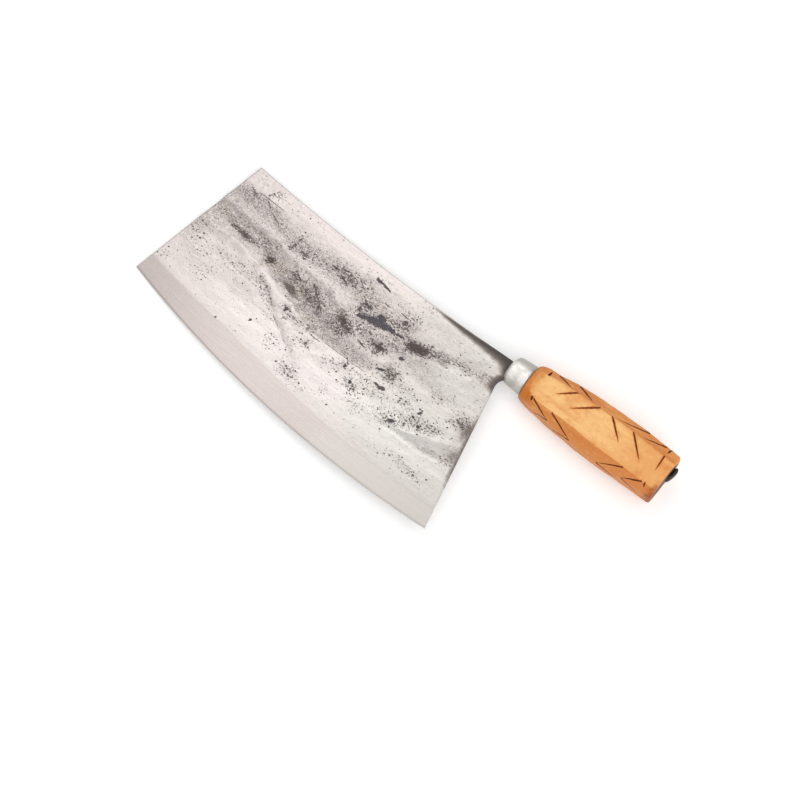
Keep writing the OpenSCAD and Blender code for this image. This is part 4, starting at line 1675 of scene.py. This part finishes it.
class Steel(Finish):
    """Forged and brushed iron that keeps its scale in the hollows."""

    def __init__(self, name, side):
        super().__init__(name)
        shift = 0.0 if side > 0 else OTHER_SIDE
        self.patterns(STEEL_PATTERNS, shift)
        for field in STEEL_FIELDS:
            setattr(self, field, self.field(field))
        self.cool = self.fade(self.plus(self.x, self.uneven(self.broad, 60.0)), -85.0, -35.0)
        self.cloud = self.times(self.tarnish, self.fade(self.medium, 0.32, 0.66, 0.62, 1.18))
        self.rugged = self.most(self.tarnish, self.times(self.pitting, 0.8))
        self.creases = self.crease_mask()
        self.pits = self.pit_mask(shift)
        self.flakes = self.flake_mask()
        self.burnt_and_shade = self.burnt_and_shade_mask()
        self.marks = self.mark_mask(MARKS if side > 0 else ())

    def crease_mask(self):
        """Thin winding creases, where the face is rugged."""
        line = self.fade(self.sum("ABSOLUTE", self.minus(self.folds, 0.5)), 0.045, 0.0)
        return self.times(line, self.fade(self.rugged, 0.08, 0.7, 0.04, 0.62))

    def pit_mask(self, shift):
        """Round pits and specks of scale, thick in clusters and none on the ground edge."""
        distance, own, other = self.dots(PIT_CELLS, PIT_PLACE + shift)
        here = self.sum("LESS_THAN", own, self.plus(self.times(self.pitting, 0.26), 0.004))
        size = self.times(other, 0.26)
        pit = self.fade(distance, self.plus(size, 0.30), self.plus(size, 0.12))
        grit = self.plus(self.grit, self.times(self.pitting, 0.17))
        grit = self.plus(grit, self.times(self.tarnish, 0.045))
        specks = self.times(self.fade(grit, 0.65, 0.69), 0.92)
        return self.times(self.most(self.times(pit, here), specks), self.fade(self.ground, 0.6, 0.0))

    def flake_mask(self):
        """Scale that still sticks, with ragged edges."""
        edge = self.plus(self.scale, self.uneven(self.ragged, 1.9))
        return self.times(self.fade(edge, 0.16, 0.30), self.fade(self.scale, -0.25, 0.0))

    # Fire blackening, with the painted shade along the heel's edge
    def burnt_and_shade_mask(self):
        patchy = self.plus(self.times(self.medium, 0.6), self.times(self.fine, 0.4))
        burnt_and_shade = self.plus(self.scorch, self.uneven(patchy, 0.5))
        return self.times(burnt_and_shade, self.fade(self.scorch, 0.0, 0.25))

    def mark_mask(self, marks):
        """Every scratch and forging crease of a face at its own strength."""
        total = 0.0
        for start, end, width, dark in marks:
            total = self.most(total, self.times(self.stroke(start, end, width), dark))
        return total

    def clean_metal(self):
        """Bright iron, cooler towards the heel, with the lines of the brush, and paler where it is polished
        and where highlights are painted on the crests.
        """
        clean = self.mix(self.cool, BRIGHT, BRIGHT_COOL)
        # Paler where polished and where highlights are painted
        clean = self.mix(self.sheen, clean, self.mix(self.cool, PALE, PALE_COOL))
        return self.mix(self.fade(self.brushing, 0.35, 0.7, 0.0, 0.14), clean, FILM)

    def filmed(self, colour):
        """The grey film, in soft clouds with warm ones and bright flecks in them."""
        film = self.mix(self.fade(self.broad, 0.5, 0.70, 0.0, 0.25), FILM, FILM_WARM)
        colour = self.mix(self.cloud, colour, film)
        rusty = self.times(self.rust, self.fade(self.medium, 0.3, 0.6, 0.5, 0.95))
        colour = self.mix(rusty, colour, FILM_WARM)
        flecks = self.fade(self.flecks, 0.56, 0.66)
        flecks = self.times(flecks, self.fade(self.tarnish, 0.1, 0.6, 0.0, 0.45))
        return self.mix(flecks, colour, BRIGHT)

    def grained(self, colour):
        """Creases, smears and the fine dark and light grain of the worked places."""
        colour = self.mix(self.creases, colour, SPECK)
        smear = self.fade(self.plus(self.smear, self.uneven(self.medium, 0.7)), 0.15, 0.75)
        smear = self.times(smear, self.fade(self.dust, 0.35, 0.65, 0.95, 0.70))
        colour = self.mix(smear, colour, SMEAR_TONE)
        grain = self.times(self.fade(self.fine, 0.52, 0.68), self.fade(self.tarnish, 0.05, 0.8, 0.02, 0.40))
        colour = self.mix(grain, colour, SPECK)
        worked = self.fade(self.rugged, 0.03, 0.6, 0.10, 0.44)
        colour = self.mix(self.times(self.fade(self.crinkle, 0.56, 0.74), worked), colour, SPECK)
        worked = self.times(worked, self.fade(smear, 0.5, 0.1))
        return self.mix(self.times(self.fade(self.crinkle, 0.50, 0.34), worked), colour, PALE)

    def scaled(self, colour):
        """Pits, flakes of blue and brown scale, and the scratches."""
        colour = self.mix(self.times(self.pits, 0.92), colour, SPECK)
        flake = self.mix(self.fade(self.medium, 0.40, 0.62), SCALE_BLUE, SCALE_BROWN)
        flake = self.mix(self.fade(self.dust, 0.45, 0.7, 0.0, 0.35), flake, SPECK)
        colour = self.mix(self.flakes, colour, flake)
        broken = self.times(self.marks, self.fade(self.fine, 0.30, 0.52, 0.5, 1.0))
        return self.mix(broken, colour, SPECK)

    def ground_metal(self):
        """The ground edge is smooth and a little greyer, with painted shade that grows towards the toe."""
        metal = self.mix(self.fade(self.brushing, 0.3, 0.7, 0.0, 0.10), GROUND, FILM)
        metal = self.mix(self.cool, metal, GROUND_COOL)
        # Painted shade, darker towards the toe
        return self.mix(self.fade(self.x, -120.0, -205.0, 0.0, 0.36), metal, FILM)

    def blackened(self, colour):
        """Fire blackening, brown at its rim and sooty inside; along the heel's edge it is partly painted
        shade.
        """
        colour = self.mix(self.fade(self.burnt_and_shade, 0.05, 0.62), colour, HEAT_BROWN_AND_SHADE)
        soot = self.mix(self.fade(self.medium, 0.42, 0.60), HEAT_BLACK, SPECK)
        return self.mix(self.fade(self.burnt_and_shade, 0.40, 1.0), colour, soot)

    def skin(self):
        """Height of the hammer texture, the grain, the pits and the step of the scale."""
        height = self.plus(self.hammered, self.times(self.fine, 0.45))
        height = self.minus(height, self.times(self.crinkle, 0.5))
        height = self.times(height, self.fade(self.tarnish, 0.0, 0.5, 0.60, 1.4))
        height = self.times(height, self.fade(self.ground, 1.0, 0.2, 0.04, 1.0))
        height = self.minus(height, self.times(self.pits, 0.8))
        height = self.minus(height, self.times(self.creases, 0.7))
        height = self.plus(height, self.times(self.flakes, 0.5))
        return self.minus(height, self.times(self.marks, 0.9))


def blade_steel(name, side):
    f = Steel(name, side)
    colour = f.scaled(f.grained(f.filmed(f.clean_metal())))
    colour = f.blackened(f.mix(f.ground, colour, f.ground_metal()))
    dull = f.most(f.flakes, f.fade(f.burnt_and_shade, 0.2, 0.8))
    rough = f.between(f.times(f.cloud, 0.8), 0.30, 0.42)
    rough = f.between(dull, f.between(f.ground, rough, 0.28), 0.5)
    rough = f.plus(rough, f.fade(f.brushing, 0.3, 0.7, -0.02, 0.03))
    return f.finish(colour, rough, f.skin(), 0.085, metal=f.between(dull, 0.92, 0.45))


# Tones of the wood
WOOD_LIGHT = tone(252, 200, 132)
WOOD_DEEP = tone(236, 168, 100)
# The narrow facets' tones: patina with painted shade in them
PATINA_AND_SHADE = tone(231, 148, 69)
PATINA_DEEP_AND_SHADE = tone(213, 124, 51)
WOOD_STAIN = tone(208, 116, 34)
WOOD_PORE = tone(186, 116, 62)
CUT_SHADE = tone(118, 60, 28)
CUT_DARK = tone(132, 70, 42)
CUT_RED = tone(178, 100, 62)
CORNER_RED = tone(156, 76, 8)
SEAM_SHADE = tone(92, 44, 26)
END_BURNT_SHADE = tone(62, 36, 24)
END_RED = tone(124, 66, 36)

# Patterns in the wood, in the order of the steel's
WOOD_PATTERNS = {
    "bands": ((40.0, 9.0, 9.0), 3.0, 0.55, 4.0, 0.0, 0.6),
    "streaks": ((11.0, 1.0, 1.0), 3.0, 0.6, 9.0, 0.0, 0.3),
    "pores": ((1.7, 0.34, 0.34), 2.0, 0.6, 14.0),
    "clouds": ((8.0, 6.0, 6.0), 3.0, 0.6, 27.0),
    "blotches": ((3.4, 2.2, 2.2), 3.0, 0.62, 66.0, 0.0, 0.4),
    "torn": ((1.2, 1.2, 1.2), 2.0, 0.5, 50.0),
    "rings": ((4.0, 0.9, 2.6), 3.0, 0.6, 33.0, 0.0, 1.0),
    "planed": ((9.0, 3.0, 3.0), 1.0, 0.5, 70.0),
}


def oiled_wood(f):
    """Light where hands polish the broad facets, and darker on the narrow ones: partly patina, partly
    painted shade.
    """
    colour = f.mix(f.fade(f.bands, 0.38, 0.68), WOOD_LIGHT, WOOD_DEEP)
    colour = f.mix(f.fade(f.streaks, 0.48, 0.75, 0.0, 0.35), colour, WOOD_DEEP)
    colour = f.mix(f.fade(f.x, 56.0, 92.0, 0.0, 0.9), colour, WOOD_DEEP)
    patina_and_shade = f.mix(f.fade(f.bands, 0.38, 0.66), PATINA_AND_SHADE, PATINA_DEEP_AND_SHADE)
    patina_and_shade = f.mix(f.fade(f.streaks, 0.50, 0.68, 0.0, 0.55), patina_and_shade, WOOD_STAIN)
    lower = f.times(f.fade(f.y, 2.0, -8.0), f.fade(f.x, 18.0, 45.0, 0.1, 0.9))
    patina_and_shade = f.mix(lower, patina_and_shade, PATINA_DEEP_AND_SHADE)
    # The narrow facets take the darker tone: patina and painted shade
    colour = f.mix(f.fade(f.field("worn"), 0.0, 1.0, 0.85, 0.0), colour, patina_and_shade)
    colour = f.mix(f.fade(f.clouds, 0.52, 0.74, 0.0, 0.45), colour, WOOD_STAIN)
    colour = f.mix(f.fade(f.blotches, 0.50, 0.70, 0.0, 0.34), colour, PATINA_AND_SHADE)
    colour = f.mix(f.fade(f.blotches, 0.46, 0.28, 0.0, 0.30), colour, WOOD_LIGHT)
    return f.mix(f.fade(f.pores, 0.60, 0.76, 0.0, 0.30), colour, WOOD_PORE)


def stained(f, colour):
    """The stain behind the ferrule, the dark corner of the butt and painted shade along the ferrule's seam.
    """
    reach = f.plus(f.plus(f.x, f.uneven(f.clouds, 24.0)), f.times(f.y, 0.2))
    collar = f.fade(reach, FERRULE_SEEN + 10.0, FERRULE_SEEN - 1.0, 0.0, 0.90)
    colour = f.mix(collar, colour, WOOD_STAIN)
    heel = f.plus(f.minus(f.x, f.times(f.y, 0.7)), f.uneven(f.blotches, 7.0))
    colour = f.mix(f.fade(heel, 104.5, 109.0, 0.0, 0.90), colour, CORNER_RED)
    # Painted shade in the seam behind the ferrule
    seam_shade = f.fade(f.x, FERRULE_SEEN + 0.9, FERRULE_SEEN + 0.1, 0.0, 0.8)
    return f.mix(seam_shade, colour, SEAM_SHADE)


def carved_wood(name, cut=False, end=False):
    """Oiled wood with fine short pores along the handle, or its cuts, with painted shade in them, or its
    end grain, dark with burning and painted shade.
    """
    f = Finish(name)
    f.patterns(WOOD_PATTERNS)
    if cut:
        torn = f.mix(f.fade(f.torn, 0.4, 0.65), CUT_DARK, CUT_RED)
        # Painted shade, deep in the cuts and in the cuts on the narrow facets
        colour = f.mix(f.fade(f.sum("ABSOLUTE", f.z), 9.5, 11.5), CUT_SHADE, torn)
    elif end:
        # Dark end grain: burnt, and painted shade on the butt's end
        colour = f.mix(f.fade(f.rings, 0.42, 0.70), END_BURNT_SHADE, END_RED)
    else:
        colour = stained(f, oiled_wood(f))
    height = f.plus(f.times(f.streaks, 0.6), f.times(f.pores, -0.5))
    height = f.plus(height, f.planed)
    rough = f.fade(f.streaks, 0.3, 0.7, 0.45, 0.58)
    return f.finish(colour, rough, height, 0.06, shine=0.3)


SHEET_PALE = tone(238, 233, 229)
SHEET_GREY = tone(208, 205, 199)
SHEET_RUBBED = tone(228, 225, 220)
# The last two tones are painted shade: on the rear rim and on the sides
SHEET_REAR_SHADE = tone(140, 142, 136)
SHEET_SIDE_SHADE = tone(146, 143, 132)


def thimble_sheet(name):
    """Dull zinc-grey sheet with rub marks round it, and mottled painted shade on its sides and at its rear
    rim.
    """
    f = Finish(name)
    rub = f.mottle((0.5, 7.0, 7.0), 3.0, 0.6, 2.0)
    smudge = f.mottle((7.0, 4.5, 4.5), 3.0, 0.55, 6.0)
    colour = f.mix(f.fade(smudge, 0.38, 0.66), SHEET_PALE, SHEET_GREY)
    colour = f.mix(f.fade(rub, 0.5, 0.72, 0.0, 0.30), colour, SHEET_RUBBED)
    # Painted shade on the rear rim, where it turns in
    rear = f.fade(f.x, FERRULE_SEEN - 2.2, FERRULE_SEEN - 0.5, 0.0, 0.40)
    colour = f.mix(rear, colour, SHEET_REAR_SHADE)
    # Painted shade on the sides, most on the spine's side, broken up by the smudges
    side_shade = f.plus(f.most(f.y, f.times(f.y, -0.35)), f.times(smudge, 3.0))
    colour = f.mix(f.fade(side_shade, 2.4, 7.0, 0.0, 0.72), colour, SHEET_SIDE_SHADE)
    rough = f.fade(smudge, 0.3, 0.7, 0.40, 0.52)
    height = f.plus(f.times(rub, 0.5), f.times(smudge, 0.4))
    return f.finish(colour, rough, height, 0.012, metal=0.85)


IRON_BLACK = tone(34, 32, 36)
IRON_BROWN = tone(62, 56, 56)


def black_iron(name):
    """Heat-blackened iron from the forge."""
    f = Finish(name)
    lump = f.mottle((1.6, 1.6, 1.6), 3.0, 0.6, 3.0)
    grit = f.mottle((0.4, 0.4, 0.4), 2.0, 0.6, 8.0)
    colour = f.mix(f.fade(lump, 0.4, 0.66), IRON_BLACK, IRON_BROWN)
    height = f.plus(lump, f.times(grit, 0.4))
    return f.finish(colour, f.fade(grit, 0.3, 0.7, 0.34, 0.55), height, 0.10, metal=0.55)


# The stage

CAMERA_AZIMUTH = 38.41
CAMERA_ELEVATION = 74.21
CAMERA_DISTANCE = 1.2015
CAMERA_TARGET = Vector((0.00921, -0.00635, 0.0))
CAMERA_LENS = 99.0
# Each lamp's name, azimuth, elevation, distance, width and brightness
LAMPS = (
    ("top_light", 224, 61, 1.6, 0.9, 1.18),
    ("key_light", 64, 52, 1.6, 1.7, 1.45),
)
WORLD_LEVEL = 0.57
WHITE = (1.0, 1.0, 1.0)
FLOOR_TONE = (0.93, 0.93, 0.93)
FLOOR_LIFT = 0.22
# Half the floor's width, where it starts to clear and is clear, and how far it lies under
# the part's own floor, so that the toe doesn't come through it
FLOOR_HALF = 1.0
FLOOR_CLEARS = (0.27, 0.62)
FLOOR_DROP = 0.0005


def look_from(made, target, azimuth, elevation, distance):
    """Sets a camera or a lamp at its distance from the target, and turns it there."""
    turn = math.radians(azimuth)
    rise = math.radians(elevation)
    flat = math.cos(rise)
    back = Vector((math.sin(turn) * flat, -math.cos(turn) * flat, math.sin(rise)))
    made.location = target + back * distance
    made.rotation_euler = (-back).to_track_quat("-Z", "Y").to_euler()
    bpy.context.scene.collection.objects.link(made)


def camera():
    data = bpy.data.cameras.new("camera")
    data.sensor_width = 36.0
    data.lens = CAMERA_LENS
    data.clip_start = 0.01
    data.clip_end = 50.0
    made = bpy.data.objects.new("camera", data)
    look_from(made, CAMERA_TARGET, CAMERA_AZIMUTH, CAMERA_ELEVATION, CAMERA_DISTANCE)
    bpy.context.scene.camera = made


def soft_box(name, azimuth, elevation, distance, width, brightness):
    """A square lamp with a large plain face of the given brightness."""
    data = bpy.data.lights.new(name, "AREA")
    data.shape = "SQUARE"
    data.size = width
    data.energy = brightness * math.pi * width * width
    look_from(bpy.data.objects.new(name, data), Vector(), azimuth, elevation, distance)


def seen_rays(nodes):
    """1 for rays from the camera and for mirrored and refracted ones."""
    path = nodes.node("ShaderNodeLightPath").outputs
    mirrored = nodes.most(path["Is Camera Ray"], path["Is Glossy Ray"])
    return nodes.most(mirrored, path["Is Transmission Ray"])


def world():
    """White where it is seen, and a plain level of light elsewhere."""
    made = bpy.data.worlds.new("studio")
    made.use_nodes = True
    nodes = Nodes(made.node_tree)
    back = next(n for n in nodes.tree.nodes if n.type == "BACKGROUND")
    nodes.feed(back.inputs["Color"], WHITE)
    nodes.feed(back.inputs["Strength"], nodes.fade(seen_rays(nodes), 0.0, 1.0, WORLD_LEVEL, 1.0))
    bpy.context.scene.world = made


def floor_paint():
    """Pale paint that is clear from below and far from the knife, where the world is white."""
    material = bpy.data.materials.new("floor_white")
    material.use_nodes = True
    nodes = Nodes(material.node_tree)
    nodes.tree.nodes.clear()
    paint = nodes.node("ShaderNodeBsdfDiffuse", {"Color": FLOOR_TONE})
    lift = {"Color": WHITE, "Strength": nodes.times(seen_rays(nodes), FLOOR_LIFT)}
    lifted = nodes.node("ShaderNodeEmission", lift)
    both = nodes.node("ShaderNodeAddShader", {0: paint.outputs[0], 1: lifted.outputs[0]})
    here = nodes.node("ShaderNodeTexCoord").outputs["Object"]
    far = nodes.node("ShaderNodeVectorMath", {0: here}, operation="LENGTH").outputs["Value"]
    below = nodes.node("ShaderNodeNewGeometry").outputs["Backfacing"]
    gone = nodes.most(below, nodes.fade(far, *FLOOR_CLEARS))
    clear = nodes.node("ShaderNodeBsdfTransparent").outputs[0]
    pick = nodes.node("ShaderNodeMixShader", {0: gone, 1: both.outputs[0], 2: clear})
    nodes.node("ShaderNodeOutputMaterial", {0: pick.outputs[0]})
    return material


def floor():
    """A pale plain floor that takes the shadow and fades into the white behind it."""
    mesh = bpy.data.meshes.new("floor")
    signs = ((-1, -1), (1, -1), (1, 1), (-1, 1))
    corners = [(x * FLOOR_HALF, y * FLOOR_HALF, -FLOOR_DROP) for x, y in signs]
    mesh.from_pydata(corners, [], [(0, 1, 2, 3)])
    mesh.materials.append(floor_paint())
    made = bpy.data.objects.new("floor", mesh)
    bpy.context.scene.collection.objects.link(made)


def studio():
    bpy.context.scene.view_settings.view_transform = "Standard"
    camera()
    world()
    for lamp in LAMPS:
        soft_box(*lamp)
    floor()


studio()

left_steel = blade_steel("forged_iron_left", 1)
right_steel = blade_steel("forged_iron_right", -1)
hard_steel = blade_steel("hard_edge_steel", 1)
plain_wood = carved_wood("carved_wood")
cut_wood = carved_wood("cut_wood", cut=True)
end_wood = carved_wood("end_wood", end=True)

core_piece = core("blade_core", hard_steel)
left_piece = cheek("blade_left_cheek", 1, left_steel)
right_piece = cheek("blade_right_cheek", -1, right_steel)
ferrule_piece = ferrule("ferrule_thimble", thimble_sheet("zinc_sheet"))
wood_piece = wood("handle_carved", [plain_wood, cut_wood, end_wood])
cut_away(wood_piece, grip_cutters(cut_wood))
tang_piece = tang("tang_clinched", black_iron("black_iron"))

for piece, node_name, slot_name in (
    (core_piece, "core_steel", "edge_steel"),
    (left_piece, "cheek_left", "cheek_iron"),
    (right_piece, "cheek_right", "cheek_iron"),
    (ferrule_piece, "ferrule", "ferrule_sheet"),
    (wood_piece, "handle", "handle_wood"),
    (tang_piece, "tang", "tang_iron"),
):
    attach(piece, "root")
    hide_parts(node_name)
